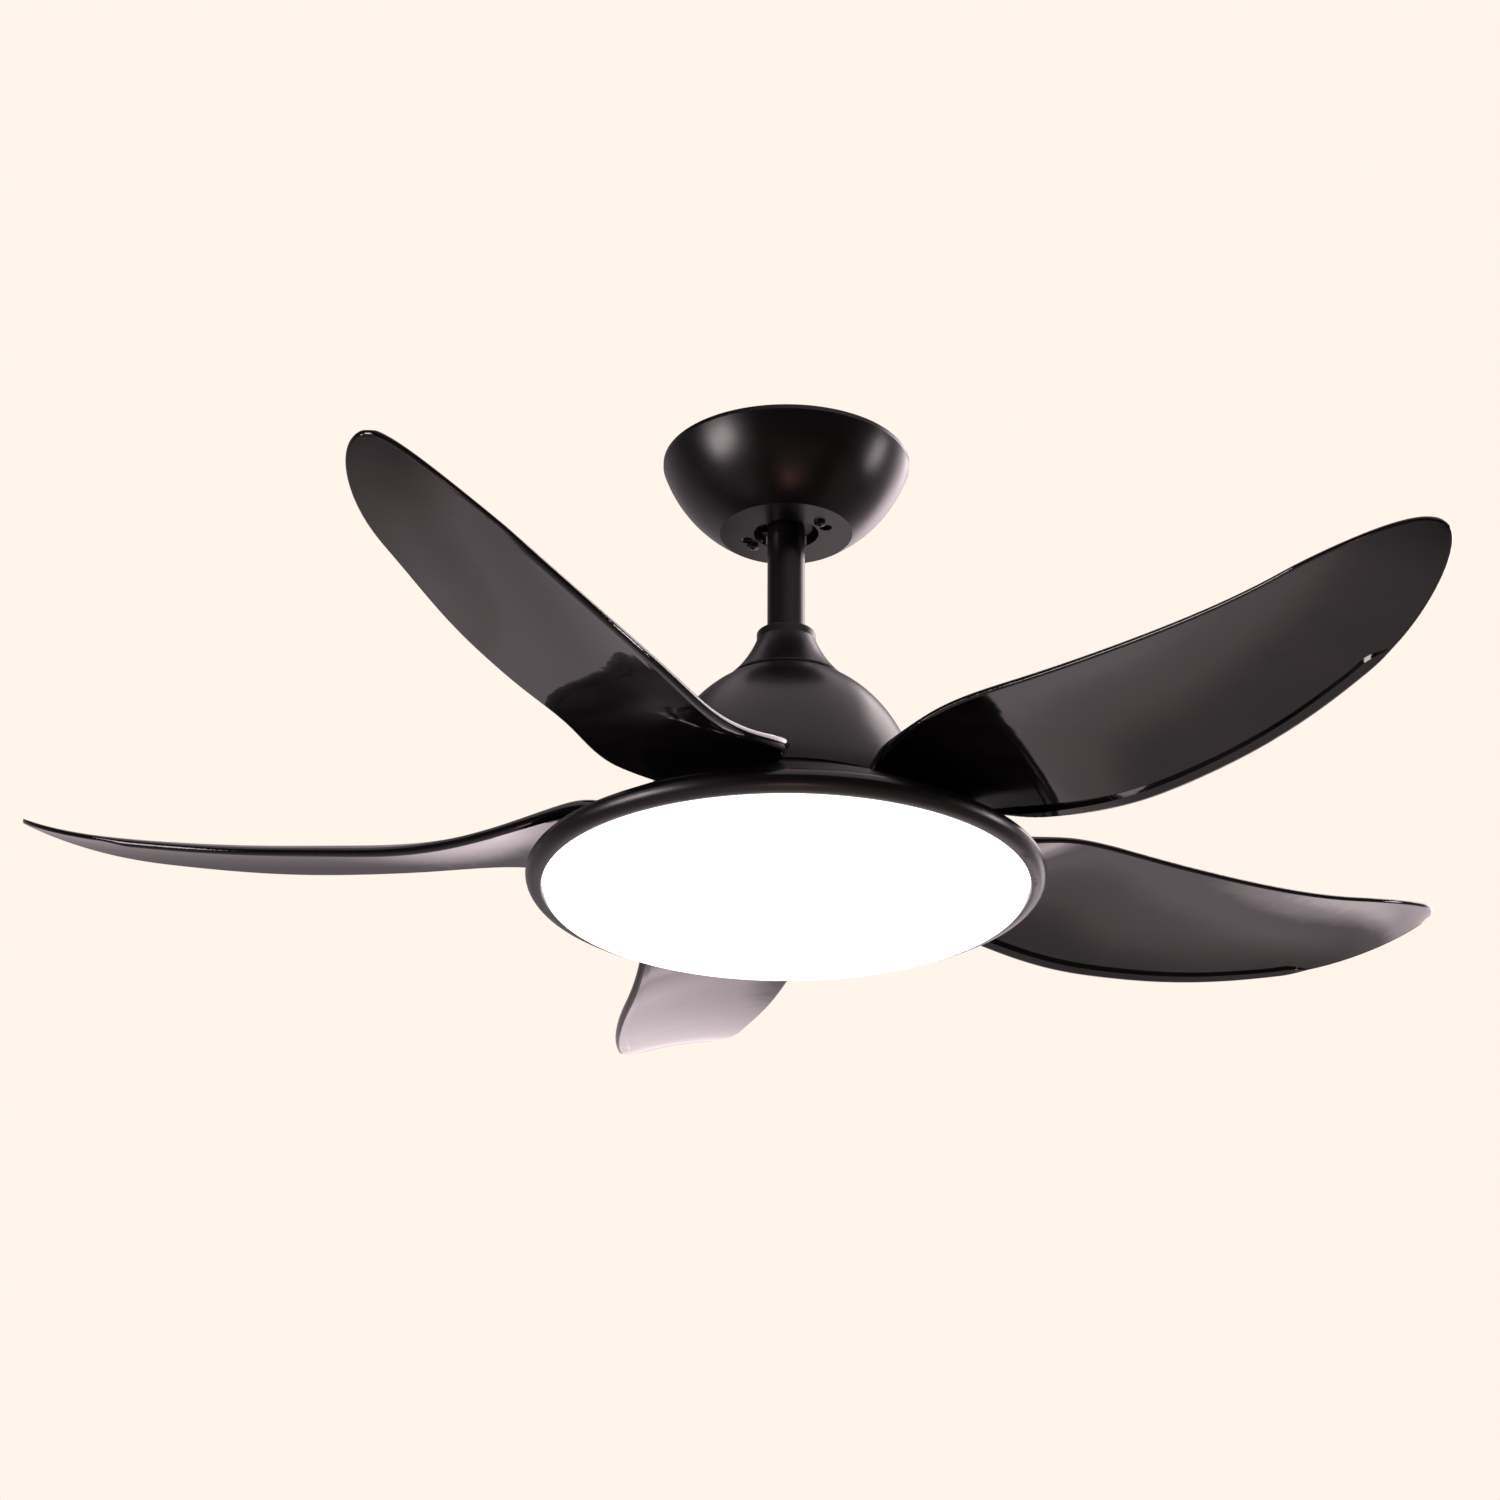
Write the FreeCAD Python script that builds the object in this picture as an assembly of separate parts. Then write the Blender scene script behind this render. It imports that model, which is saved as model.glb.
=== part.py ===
"""A five-blade ceiling fan with a flat round lamp under its hub, as an assembly of separate pieces.

Frame: the origin is on the ceiling plane, on the fan's axis. +Z points up into the ceiling, so the
whole fan lies below zero. The bracket's two slots lie along X. All sizes are in millimetres.

From the top down: a pressed steel bracket with a ball socket, a bowl-shaped canopy over it, a downrod
hung by a nylon ball and a cross pin, a yoke that clamps the rod, a flared cover and a bell over the
motor, an outer-rotor motor on a hollow fixed shaft, five twisted blades under the rotor's flange, and
a lamp on the lower end of the shaft. Everything on the downrod swings a little in the socket, and the
rotor with its blades turns on two deep-groove ball bearings.
"""

import FreeCAD
import Part

import math
import os

from FreeCAD import Vector

# ---------------------------------------------------------------- clearances
TOUCH_GAP = 0.3  # between curved faces of pieces that move past each other
RUNNING_GAP = 0.05  # radial, a pin in its hole
LID_GAP = 0.2  # between a moulded lid's step and its case
TOOL_REACH = 1.0  # how far a cutting shape passes the surface it cuts

# ---------------------------------------------------------------- ceiling bracket
SLOT_SPACING = 86.0
SLOT_LENGTH = 14.0
SLOT_RADIUS = 3.25
PLATE_PAST_SLOT = 11.0
PLATE_WIDTH = 36.0
PLATE_CORNER = 5.0
WING_CORNER = 4.0
SHEET = 2.5
CABLE_HOLE_RADIUS = 9.0
LEG_WIDTH = 24.0
RECEIVER_WING_REACH = 58.0
RECEIVER_WING_WIDTH = 50.0
TERMINAL_WING_REACH = 50.0
TERMINAL_WING_WIDTH = 34.0
SOCKET_HEIGHT = 10.0
SOCKET_BELOW_CENTRE = 17.5  # ball centre to the socket's lower face
SOCKET_WALL = 8.0  # ball to the socket's outside
SOCKET_MOUTH_GAP = 1.2  # each side of the rod, where it passes in
LEG_INSET = 1.0
EAR_ANGLE = -37.0  # the two ears for the canopy screws, set round from the legs
EAR_WIDTH = 11.0
EAR_LENGTH = 9.0
M4_RADIUS = 2.0
M4_CLEARANCE_RADIUS = 2.2
M4_HEAD_RADIUS = 3.8
M4_HEAD_HEIGHT = 2.4
EARTH_SCREW_X = 24.0
TERMINAL_SIZE = (30.0, 14.0, 12.0)
TERMINAL_PITCH = 10.0
TERMINAL_WELL_RADIUS = 2.2
TERMINAL_WELL_DEPTH = 5.0
TERMINAL_WELL_Y = 9.0  # from the block's inner side
TERMINAL_ENTRY = (3.0, 4.0)  # the wires' groove: depth, height
TERMINAL_SCREW_HEAD = (2.1, 1.6)  # radius, height
TERMINAL_SCREW_SHANK = (1.2, 3.0)  # radius, length
RECEIVER_SIZE = (58.0, 26.0, 20.0)
RECEIVER_WALL = 1.6
RECEIVER_CORNER = 3.0
RECEIVER_IN_FROM_WING = 1.0
LID_STEP = 1.2
BOARD_SHEET = 1.6
RELAY_SIZE = (12.0, 12.0, 10.4)
RELAY_X = -14.0
CAPACITOR_RADIUS = 4.5
CAPACITOR_HEIGHT = 11.4
CAPACITOR_X = 10.0

# ---------------------------------------------------------------- hanger ball, pin and downrod
BALL_RADIUS = 27.0
BALL_DEPTH = 31.0  # ceiling to the ball's centre
BALL_ABOVE = 8.0
BALL_BELOW = 20.0
KEY_WIDTH = 5.0
KEY_SLOT_WIDTH = 12.0  # wide enough for the tilt
KEY_SLOT_DEPTH = 4.6
KEY_TO_SLOT_FLOOR = 1.0
KEY_OUTER_WALL = 4.0
HANGER_PIN_RADIUS = 4.0
HANGER_PIN_IN_BALL = 2.5  # how far each end lies inside the ball
PIN_CHAMFER = 0.8
ROD_RADIUS = 13.0
ROD_WALL = 2.0
ROD_LENGTH = 169.0
ROD_ABOVE_BALL = 14.0
GROMMET_DEPTH = 6.0
GROMMET_BRIM = 2.0

# ---------------------------------------------------------------- canopy
CEILING_GAP = 1.0
CANOPY_RIM_RADIUS = 86.0
CANOPY_FLAT_RADIUS = 46.0
CANOPY_BULGE = 5.5
CANOPY_RIM_BAND = 3.0
CANOPY_WALL = 1.0
CANOPY_HOLE_GAP = 9.5  # round the rod, for the tilt
CANOPY_TO_SOCKET = 6.0  # socket's lower face to the inside of the canopy's floor
SCREW_FROM_HOLE = 6.5  # canopy hole's edge to the middle of its screws
CANOPY_SCREW_HEAD_RADIUS = 4.0
CANOPY_SCREW_SHORT = 1.0  # the canopy screws end this far short of the socket
KEYHOLE_TURN = 18.0  # degrees from the screw to the wide end of its keyhole
KEYHOLE_WIDE_GAP = 0.3  # round the screw's head

# ---------------------------------------------------------------- yoke, cover and bell
YOKE_SOCKET_DEPTH = 36.0
YOKE_WALL = 4.5
YOKE_BASE = 14.0
YOKE_FLANGE_RADIUS = 34.0
YOKE_FLANGE_THICKNESS = 5.0
YOKE_TOP_TO_BELL = 21.0
SET_SCREW_RADIUS = 2.5
SET_SCREW_DROP = 6.0  # yoke's top to the set screw
SET_SCREW_STANDS_OUT = 3.0
SET_SCREW_SLOT = (1.0, 0.8)  # depth, width
ROD_PIN_RADIUS = 3.0
ROD_PIN_DROP = 12.0  # yoke's top to the rod pin
ROD_PIN_HEAD = (4.8, 2.5)  # radius, height
ROD_PIN_PAST_YOKE = 9.0
CLIP_RADIUS = 0.8
CLIP_FROM_YOKE = 3.0
CLIP_ABOVE_PIN = 9.0
CLIP_BELOW_PIN = 7.0
CLIP_OUTER_LEG_SHORTER = 3.0
CLIP_BEND = 3.9  # between the clip's two legs
COVER_HEIGHT = 38.0
COVER_ROUND_ROD = 7.2  # rod to the outside of the cover's top
COVER_FOOT_RADIUS = 40.0
COVER_COLLAR = 6.0
COVER_EDGE = 1.2
COVER_WALL = 1.5
COVER_HOLLOW = 1.9  # how far the flare curves in from a straight cone
BELL_HEIGHT = 95.0
BELL_TOP_RADIUS = 41.0
BELL_FOOT_RADIUS = 91.0
BELL_WALL = 1.5
BELL_SHOULDER = (1.6, 1.0)  # the bevel round the bell's top: across, down
BELL_SCREW_CIRCLE = 27.0

# ---------------------------------------------------------------- motor (bearings are the 17 x 40 x 12 size)
BEARING_BORE_RADIUS = 8.5
BEARING_OUTER_RADIUS = 20.0
BEARING_WIDTH = 12.0
BEARING_BALLS = 8
RING_THICKNESS = 3.1
RING_UNDER_GROOVE = 2.38  # what the groove leaves of each ring, with the ball's play
CAGE_THICKNESS = 2.0
CAGE_PAST_BALL = 0.83
YOKE_TO_BEARING = 6.0
SHAFT_SHOULDER_RADIUS = 11.0
SHAFT_BORE_RADIUS = 5.5
SHAFT_IN_YOKE = 12.0
BEARING_SPACING = 36.0  # between the two bearings' facing sides
STATOR_RADIUS = 52.2
STATOR_HEIGHT = 20.0
STATOR_SLOTS = 12
STATOR_HUB_RADIUS = 23.0
STATOR_RIM = 5.0
TOOTH_WIDTH = 7.0
SLOT_MOUTH = 3.2
COIL_THICKNESS = 2.9
COIL_OVERHANG = 3.6
COIL_CORNER = 2.4
COIL_TO_HUB = 4.0
COIL_TO_RIM = 0.4
COIL_TO_CAP = 0.9
AIR_GAP = 0.8
MAGNET_THICKNESS = 4.0
MAGNET_COUNT = 16
MAGNET_SPACE = 2.5  # degrees between neighbours
MAGNET_PAST_STATOR = 1.0
BACK_IRON_THICKNESS = 5.0
CAP_WEB = 3.0
CAP_BOSS_WALL = 4.0
CAP_LIP = 1.5
CAP_LIP_SHORT = 0.6  # the lip ends this far outside the outer ring's edge
CAP_STEP = 1.0
CAP_SKIRT = 3.5
CAP_VENT_RADIUS = 7.0
CAP_VENTS = 8
CAP_SCREW_COUNT = 6
CAP_SCREW_RADIUS = 1.5
CAP_SCREW_HEAD = (2.8, 2.0)  # radius, height
BLADE_FLANGE_RADIUS = 88.0
BLADE_FLANGE_THICKNESS = 4.5
BLADE_FLANGE_IN_BELL = 1.0

# ---------------------------------------------------------------- blades
BLADE_COUNT = 5
FIRST_BLADE_ANGLE = 174.15
SWEEP_RADIUS = 533.0
ROOT_RADIUS = 99.0  # where the blade's body starts
ROOT_THICKNESS = 12.0
ROOT_BELOW_FLANGE = 7.0  # flange's lower face to the middle of the root
TONGUE_THICKNESS = 6.0
TONGUE_WIDTH = 40.0
TONGUE_INNER_RADIUS = 68.0
TONGUE_CORNER = 6.0
TONGUE_IN_BLADE = 8.0
PAD_INSET = 1.0
PAD_THICKNESS = 1.5
BLADE_SCREW_SPOTS = [(75.5, -12.0), (75.5, 12.0), (84.0, 0.0)]  # along and across the blade
BLADE_SCREW_RADIUS = 2.5
BLADE_SCREW_HEAD = (4.6, 3.0)  # radius, height
SKIN = 3.6
LEADING_EDGE_THICKNESS = 4.2
TIP_EDGE_THICKNESS = 3.2
LIP_DEPTH = 3.4  # how far the trailing edge is turned down below the skin
LIP_DEPTH_AT_END = 2.0
LIP_WIDTH = 9.5
LIP_WALL_WIDTH = 1.4  # the steep inner side of the lip, seen from below
LIP_STARTS = 0.02  # shares of the blade's length
LIP_FULL = 0.14
LIP_FADES = 0.795
LIP_ENDS = 0.83
SMALLEST_LIP = 0.1
SMALLEST_LIP_WIDTH = 2.6
TRAILING_ROUND = 0.45  # share of the trailing edge's thickness that its rounding takes
TIP_ROUND_SHARE = 0.79  # share of the blade's length where the tip starts to round off
TIP_SHIFT = 6.0  # how far the rounded tip leans to the trailing edge

# Each station: share of the blade's length, chord, middle of the chord across the blade, pitch in
# degrees, height over the root's middle, camber, and how much of the root's thickness is left.
BLADE_STATIONS = [
    (0.00, 62.0, -1.0, 0.0, 0.0, 0.0, 1.00),
    (0.03, 86.0, 1.0, 0.0, -0.5, 0.0, 0.95),
    (0.065, 110.0, 3.0, 1.5, -1.5, 1.0, 0.65),
    (0.11, 126.0, 2.5, 4.5, -4.5, 2.5, 0.28),
    (0.20, 133.0, -0.5, 12.0, -7.5, 5.0, 0.0),
    (0.33, 133.0, -2.5, 16.4, -12.0, 7.0, 0.0),
    (0.46, 130.0, -3.0, 15.8, -12.0, 7.5, 0.0),
    (0.60, 121.0, -5.0, 15.0, -8.2, 7.0, 0.0),
    (0.74, 106.0, -9.0, 14.5, 0.3, 5.5, 0.0),
    (0.87, 92.0, -16.0, 14.0, 13.0, 3.5, 0.0),
    (1.00, 80.0, -24.0, 14.0, 34.5, 1.0, 0.0),
]

# ---------------------------------------------------------------- lamp
BLADE_TO_PAN = 2.0  # least gap between the turning blades and the pan under them
DIFFUSER_RADIUS = 161.0
DIFFUSER_TO_RING = 1.6
DIFFUSER_FLANGE = 6.0
DIFFUSER_FLANGE_GAP = 1.0
DIFFUSER_WALL = 2.0
DIFFUSER_SAG = 4.0
DIFFUSER_CORNER = 3.0
DIFFUSER_BELOW_RING = 3.7
PAN_SLOPE_RUN = 41.0
PAN_SLOPE_DEPTH = 23.0
PAN_SKIRT = 9.0
PAN_WALL = 1.0
PAN_TOP_ROUND = 2.0
LAMP_BRACKET_RADIUS = 50.0
LAMP_BRACKET_THICKNESS = 2.0
LAMP_BRACKET_SCREW_CIRCLE = 38.0
NUT_ACROSS_FLATS = 24.0
NUT_HEIGHT = 6.0
NUT_ROUNDING = 0.985  # share of the nut's corner radius that its rounded corners keep
LAMP_RING_STANDS_OUT = 5.5
LAMP_RING_HEIGHT = 14.2
LAMP_RING_WIDEST = 5.6  # ring's top to its widest place
LAMP_RING_TOP_FACE = 1.5
LAMP_RING_BULGES = (1.0, 2.4)  # above and below the widest place
LAMP_RING_FOOT_FACE = 2.0
LAMP_RING_LIP = 4.2
LAMP_RING_LIP_BEVEL = 0.6
BOARD_TO_DIFFUSER = 21.0
BOARD_HOLE_RADIUS = 28.0
BOARD_THICKNESS = 1.5
BOARD_DROP = 20.0  # pan's inside to the LED board
LED_COUNTS = (12, 20, 28)  # on each ring, from the middle out
LED_FROM_EDGE = 22.0
LED_SIZE = (3.5, 2.8, 0.8)
SPACER_FROM_EDGE = 25.0
SPACER_COUNT = 4
SPACER_RADIUS = 4.0
M3_RADIUS = 1.5
M3_HEAD = (2.8, 1.8)  # radius, height
DRIVER_SIZE = (96.0, 40.0, 15.0)
DRIVER_OFFSET = 58.0
DRIVER_CORNERS = (3.0, 1.5)  # upright edges, foot edges

# ---------------------------------------------------------------- leads
LEAD_RADIUS = 2.0
LEAD_ROD_OFFSET = 6.6  # beside the two cross pins
LEAD_SHAFT_OFFSET = 3.3
LEAD_BEND = 30.0
LEAD_ABOVE_ROD = 5.0
LEAD_STRAIGHT_OVER_SHAFT = (20.0, 3.0)  # where the lead starts and ends its step across
LEAD_BELOW_SHAFT = 2.0
PLUG_SIZE = (12.0, 8.0)
PLUG_CORNER = 1.0
CANOPY_PLUG_LENGTH = 5.5
LAMP_PLUG_LENGTH = 10.0

# ---------------------------------------------------------------- radii that follow from others
PLATE_LENGTH = SLOT_SPACING + SLOT_LENGTH + 2 * PLATE_PAST_SLOT
SOCKET_RADIUS = BALL_RADIUS + SOCKET_WALL
SEAT_RADIUS = BALL_RADIUS + TOUCH_GAP
LEG_OUTER_X = SOCKET_RADIUS - LEG_INSET
CANOPY_HOLE_RADIUS = ROD_RADIUS + CANOPY_HOLE_GAP
EAR_RADIUS = CANOPY_HOLE_RADIUS + SCREW_FROM_HOLE
CANOPY_SCREW_LENGTH = CANOPY_WALL + CANOPY_TO_SOCKET - CANOPY_SCREW_SHORT
COVER_TOP_RADIUS = ROD_RADIUS + COVER_ROUND_ROD
YOKE_RADIUS = ROD_RADIUS + YOKE_WALL
CLIP_HOLE_Y = YOKE_RADIUS + CLIP_FROM_YOKE
BEARING_PITCH_RADIUS = (BEARING_BORE_RADIUS + BEARING_OUTER_RADIUS) / 2
BEARING_BALL_RADIUS = (BEARING_OUTER_RADIUS - BEARING_BORE_RADIUS) / 2 - RING_UNDER_GROOVE
MAGNET_INNER_RADIUS = STATOR_RADIUS + AIR_GAP
IRON_INNER_RADIUS = MAGNET_INNER_RADIUS + MAGNET_THICKNESS
IRON_OUTER_RADIUS = IRON_INNER_RADIUS + BACK_IRON_THICKNESS
CAP_SCREW_CIRCLE = (IRON_INNER_RADIUS + IRON_OUTER_RADIUS) / 2
CAP_BOSS_RADIUS = BEARING_OUTER_RADIUS + CAP_BOSS_WALL
CAP_LIP_RADIUS = BEARING_OUTER_RADIUS - RING_THICKNESS + CAP_LIP_SHORT
CAP_SKIRT_RADIUS = IRON_INNER_RADIUS + (BACK_IRON_THICKNESS - CAP_SKIRT)
LAMP_RING_LIP_RADIUS = DIFFUSER_RADIUS + DIFFUSER_TO_RING
DIFFUSER_FLANGE_RADIUS = DIFFUSER_RADIUS + DIFFUSER_FLANGE
PAN_SKIRT_RADIUS = DIFFUSER_FLANGE_RADIUS + DIFFUSER_FLANGE_GAP
PAN_TOP_RADIUS = PAN_SKIRT_RADIUS - PAN_SLOPE_RUN
LAMP_RING_RADIUS = PAN_SKIRT_RADIUS + LAMP_RING_STANDS_OUT
BOARD_RADIUS = DIFFUSER_RADIUS - BOARD_TO_DIFFUSER
SPACER_CIRCLE = BOARD_RADIUS - SPACER_FROM_EDGE


def blade_clearance_drop():
    """How far under the root's middle the pan's top must lie for the blades to turn just clear of it.

    It looks at the lower corners of the stations that turn over the pan, and a flat or sloping pan
    under each of them.
    """
    drop = ROOT_THICKNESS / 2
    for before, after in zip(BLADE_STATIONS, BLADE_STATIONS[1:]):
        for step in range(5):
            share, chord, middle, pitch, rise, _, root_left = (
                a + (b - a) * step / 5 for a, b in zip(before, after)
            )
            along = ROOT_RADIUS + share * (SWEEP_RADIUS - ROOT_RADIUS)
            half = (SKIN + (ROOT_THICKNESS - SKIN) * root_left) / 2
            for side in (-1, 1):
                low = half - rise
                low += max(0.0, side * math.sin(math.radians(pitch))) * chord / 2
                radius = math.hypot(along, middle + side * chord / 2)
                if radius < PAN_SKIRT_RADIUS:
                    fall = max(0.0, radius - PAN_TOP_RADIUS) * PAN_SLOPE_DEPTH / PAN_SLOPE_RUN
                    drop = max(drop, low - fall)
    return drop


# ---------------------------------------------------------------- places along the axis, from the top down
BALL_Z = -BALL_DEPTH
SOCKET_FOOT_Z = BALL_Z - SOCKET_BELOW_CENTRE
SOCKET_TOP_Z = SOCKET_FOOT_Z + SOCKET_HEIGHT
CANOPY_FLOOR_Z = SOCKET_FOOT_Z - CANOPY_TO_SOCKET
CANOPY_FOOT_Z = CANOPY_FLOOR_Z - CANOPY_WALL
ROD_TOP_Z = BALL_Z + ROD_ABOVE_BALL
ROD_FOOT_Z = ROD_TOP_Z - ROD_LENGTH
YOKE_TOP_Z = ROD_FOOT_Z + YOKE_SOCKET_DEPTH
YOKE_FOOT_Z = ROD_FOOT_Z - YOKE_BASE
ROD_PIN_Z = YOKE_TOP_Z - ROD_PIN_DROP
BELL_TOP_Z = YOKE_TOP_Z - YOKE_TOP_TO_BELL
BELL_FOOT_Z = BELL_TOP_Z - BELL_HEIGHT
YOKE_FLANGE_Z = BELL_TOP_Z - BELL_WALL
COVER_FOOT_Z = BELL_TOP_Z + TOUCH_GAP
COVER_TOP_Z = COVER_FOOT_Z + COVER_HEIGHT
UPPER_BEARING_Z = YOKE_FOOT_Z - YOKE_TO_BEARING - BEARING_WIDTH / 2
LOWER_BEARING_Z = UPPER_BEARING_Z - BEARING_WIDTH - BEARING_SPACING
STATOR_Z = (UPPER_BEARING_Z + LOWER_BEARING_Z) / 2
FLANGE_TOP_Z = BELL_FOOT_Z + BLADE_FLANGE_IN_BELL
FLANGE_FOOT_Z = FLANGE_TOP_Z - BLADE_FLANGE_THICKNESS
TONGUE_TOP_Z = FLANGE_FOOT_Z - PAD_THICKNESS
TONGUE_FOOT_Z = TONGUE_TOP_Z - TONGUE_THICKNESS
ROOT_Z = FLANGE_FOOT_Z - ROOT_BELOW_FLANGE
PAN_TOP_Z = ROOT_Z - blade_clearance_drop() - BLADE_TO_PAN
PAN_INSIDE_Z = PAN_TOP_Z - PAN_WALL
PAN_FOOT_Z = PAN_TOP_Z - PAN_SLOPE_DEPTH - PAN_SKIRT
FLANGE_SEAT_Z = PAN_FOOT_Z - DIFFUSER_WALL  # the diffuser's flange lies between the pan and this ledge
RING_FOOT_Z = FLANGE_SEAT_Z - LAMP_RING_LIP
RING_TOP_Z = RING_FOOT_Z + LAMP_RING_HEIGHT
LAMP_BRACKET_TOP_Z = PAN_TOP_Z + LAMP_BRACKET_THICKNESS
SHAFT_TOP_Z = YOKE_FOOT_Z + SHAFT_IN_YOKE
SHAFT_FOOT_Z = PAN_INSIDE_Z - NUT_HEIGHT
BOARD_TOP_Z = PAN_INSIDE_Z - BOARD_DROP
BOARD_FOOT_Z = BOARD_TOP_Z - BOARD_THICKNESS

IRON_HALF_HEIGHT = STATOR_HEIGHT / 2 + COIL_OVERHANG + COIL_TO_CAP
Z_AXIS = Vector(0, 0, 1)


# ================================================================ helpers
def save(name, shape):
    """Writes one node's STEP file."""
    shape.exportStep(f"parts/{name}.step")


def on_axis(radius, z):
    """A point of a profile that is turned about the fan's axis."""
    return Vector(radius, 0, z)


def line(a, b):
    return Part.makeLine(a, b)


def arc(a, middle, b):
    return Part.Arc(a, middle, b).toShape()


def bulge_middle(a, b, bulge):
    """The middle of an arc from a to b that stands bulge to the right of the way from a to b."""
    way = b - a
    side = Vector(way.z, 0, -way.x).normalize()
    return (a + b) * 0.5 + side * bulge


def turned(edges):
    """The solid that a closed profile sweeps round the fan's axis."""
    wire = Part.Wire(Part.__sortEdges__(edges))
    return Part.Face(wire).revolve(Vector(0, 0, 0), Z_AXIS, 360)


def turned_polygon(points):
    """The same for a profile with straight sides, given as (radius, z)."""
    corners = [on_axis(r, z) for r, z in points]
    wire = Part.makePolygon(corners + corners[:1])
    return Part.Face(wire).revolve(Vector(0, 0, 0), Z_AXIS, 360)


def disc(radius, z_low, z_high, x=0.0, y=0.0):
    return Part.makeCylinder(radius, z_high - z_low, Vector(x, y, z_low), Z_AXIS)


def ring(outer, inner, z_low, z_high):
    return disc(outer, z_low, z_high).cut(disc(inner, z_low, z_high))


def block(x_low, x_high, y_low, y_high, z_low, z_high):
    return Part.makeBox(x_high - x_low, y_high - y_low, z_high - z_low, Vector(x_low, y_low, z_low))


def rounded_block(x_low, x_high, y_low, y_high, z_low, z_high, radius):
    """A block whose four upright edges are rounded."""
    body = block(x_low, x_high, y_low, y_high, z_low, z_high)
    upright = [e for e in body.Edges if abs(e.tangentAt(e.FirstParameter).z) > 0.99]
    return body.makeFillet(radius, upright)


def rotated(shape, degrees, centre=Vector(0, 0, 0), axis=Z_AXIS):
    copy = shape.copy()
    copy.rotate(centre, axis, degrees)
    return copy


def around(shape, count, start=0.0):
    """Copies of a shape, evenly spaced round the fan's axis."""
    return [rotated(shape, start + 360.0 * i / count) for i in range(count)]


def at_angle(radius, degrees, z=0.0):
    angle = math.radians(degrees)
    return Vector(radius * math.cos(angle), radius * math.sin(angle), z)


def screw(head_radius, head_height, shank_radius, length):
    """A pan-head screw standing on its tip: the shank points up along +Z and the head lies under z = 0."""
    crown = min(0.45 * head_height, 0.8)
    head = turned(
        [
            line(on_axis(0, 0), on_axis(head_radius, 0)),
            line(on_axis(head_radius, 0), on_axis(head_radius, -head_height + crown)),
            arc(
                on_axis(head_radius, -head_height + crown),
                on_axis(head_radius * 0.72, -head_height + crown * 0.3),
                on_axis(0, -head_height),
            ),
            line(on_axis(0, -head_height), on_axis(0, 0)),
        ]
    )
    recess_depth = 0.6 * head_height
    long_side = 0.55 * head_radius
    short_side = 0.14 * head_radius
    foot = -head_height - 1.0
    cross = block(-long_side, long_side, -short_side, short_side, foot, -head_height + recess_depth)
    body = head.fuse(Part.makeCylinder(shank_radius, length))
    return body.cut(cross).cut(rotated(cross, 90)).removeSplitter()


def placed(shape, x, y, z, upside_down=False):
    copy = shape.copy()
    if upside_down:
        copy.rotate(Vector(0, 0, 0), Vector(1, 0, 0), 180)
    copy.translate(Vector(x, y, z))
    return copy


def hex_nut(across_flats, bore_radius, z_low, z_high):
    corner = across_flats / math.sqrt(3)
    corners = [at_angle(corner, 60 * i, z_low) for i in range(6)]
    prism = Part.Face(Part.makePolygon(corners + corners[:1])).extrude(Vector(0, 0, z_high - z_low))
    rim = disc(corner * NUT_ROUNDING, z_low, z_high)
    return prism.common(rim).cut(disc(bore_radius, z_low, z_high))


# ================================================================ ceiling bracket and what hangs on it
def slot_hole(x):
    straight = SLOT_LENGTH - 2 * SLOT_RADIUS
    hole = block(x - straight / 2, x + straight / 2, -SLOT_RADIUS, SLOT_RADIUS, -SHEET, 0)
    for end in (-straight / 2, straight / 2):
        hole = hole.fuse(disc(SLOT_RADIUS, -SHEET, 0, x + end, 0))
    return hole


def socket_seat():
    """The C-shaped ring under the legs.

    Its seat is a sphere about the ball's centre, and a key stops the ball turning.
    """
    centre = Vector(0, 0, BALL_Z)
    body = disc(SOCKET_RADIUS, SOCKET_FOOT_Z, SOCKET_TOP_Z)
    body = body.cut(Part.makeSphere(SEAT_RADIUS, centre))
    body = body.cut(disc(math.sqrt(SEAT_RADIUS**2 - SOCKET_BELOW_CENTRE**2), SOCKET_FOOT_Z, SOCKET_TOP_Z))
    entry = ROD_RADIUS + SOCKET_MOUTH_GAP
    body = body.cut(block(-entry, entry, 0, SOCKET_RADIUS + TOOL_REACH, SOCKET_FOOT_Z, SOCKET_TOP_Z))
    key_end = -SOCKET_RADIUS + KEY_OUTER_WALL
    key = block(key_end, 0, -KEY_WIDTH / 2, KEY_WIDTH / 2, SOCKET_FOOT_Z, SOCKET_TOP_Z)
    key = key.cut(Part.makeSphere(BALL_RADIUS - KEY_SLOT_DEPTH + KEY_TO_SLOT_FLOOR + TOUCH_GAP, centre))
    return body.fuse(key)


def bracket_legs():
    legs = []
    for side in (-1, 1):
        x_low, x_high = sorted((side * (LEG_OUTER_X - SHEET), side * LEG_OUTER_X))
        legs.append(block(x_low, x_high, -LEG_WIDTH / 2, LEG_WIDTH / 2, SOCKET_TOP_Z - SHEET, -SHEET / 2))
    return legs


def ear(angle):
    """A lug under the socket ring with a threaded hole for a canopy screw."""
    lug = block(
        EAR_RADIUS - EAR_LENGTH / 2,
        EAR_RADIUS + EAR_LENGTH / 2,
        -EAR_WIDTH / 2,
        EAR_WIDTH / 2,
        CANOPY_FLOOR_Z,
        SOCKET_FOOT_Z,
    )
    return rotated(lug, angle)


def ear_screw_places():
    return [at_angle(EAR_RADIUS, angle) for angle in (EAR_ANGLE, EAR_ANGLE + 180)]


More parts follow.
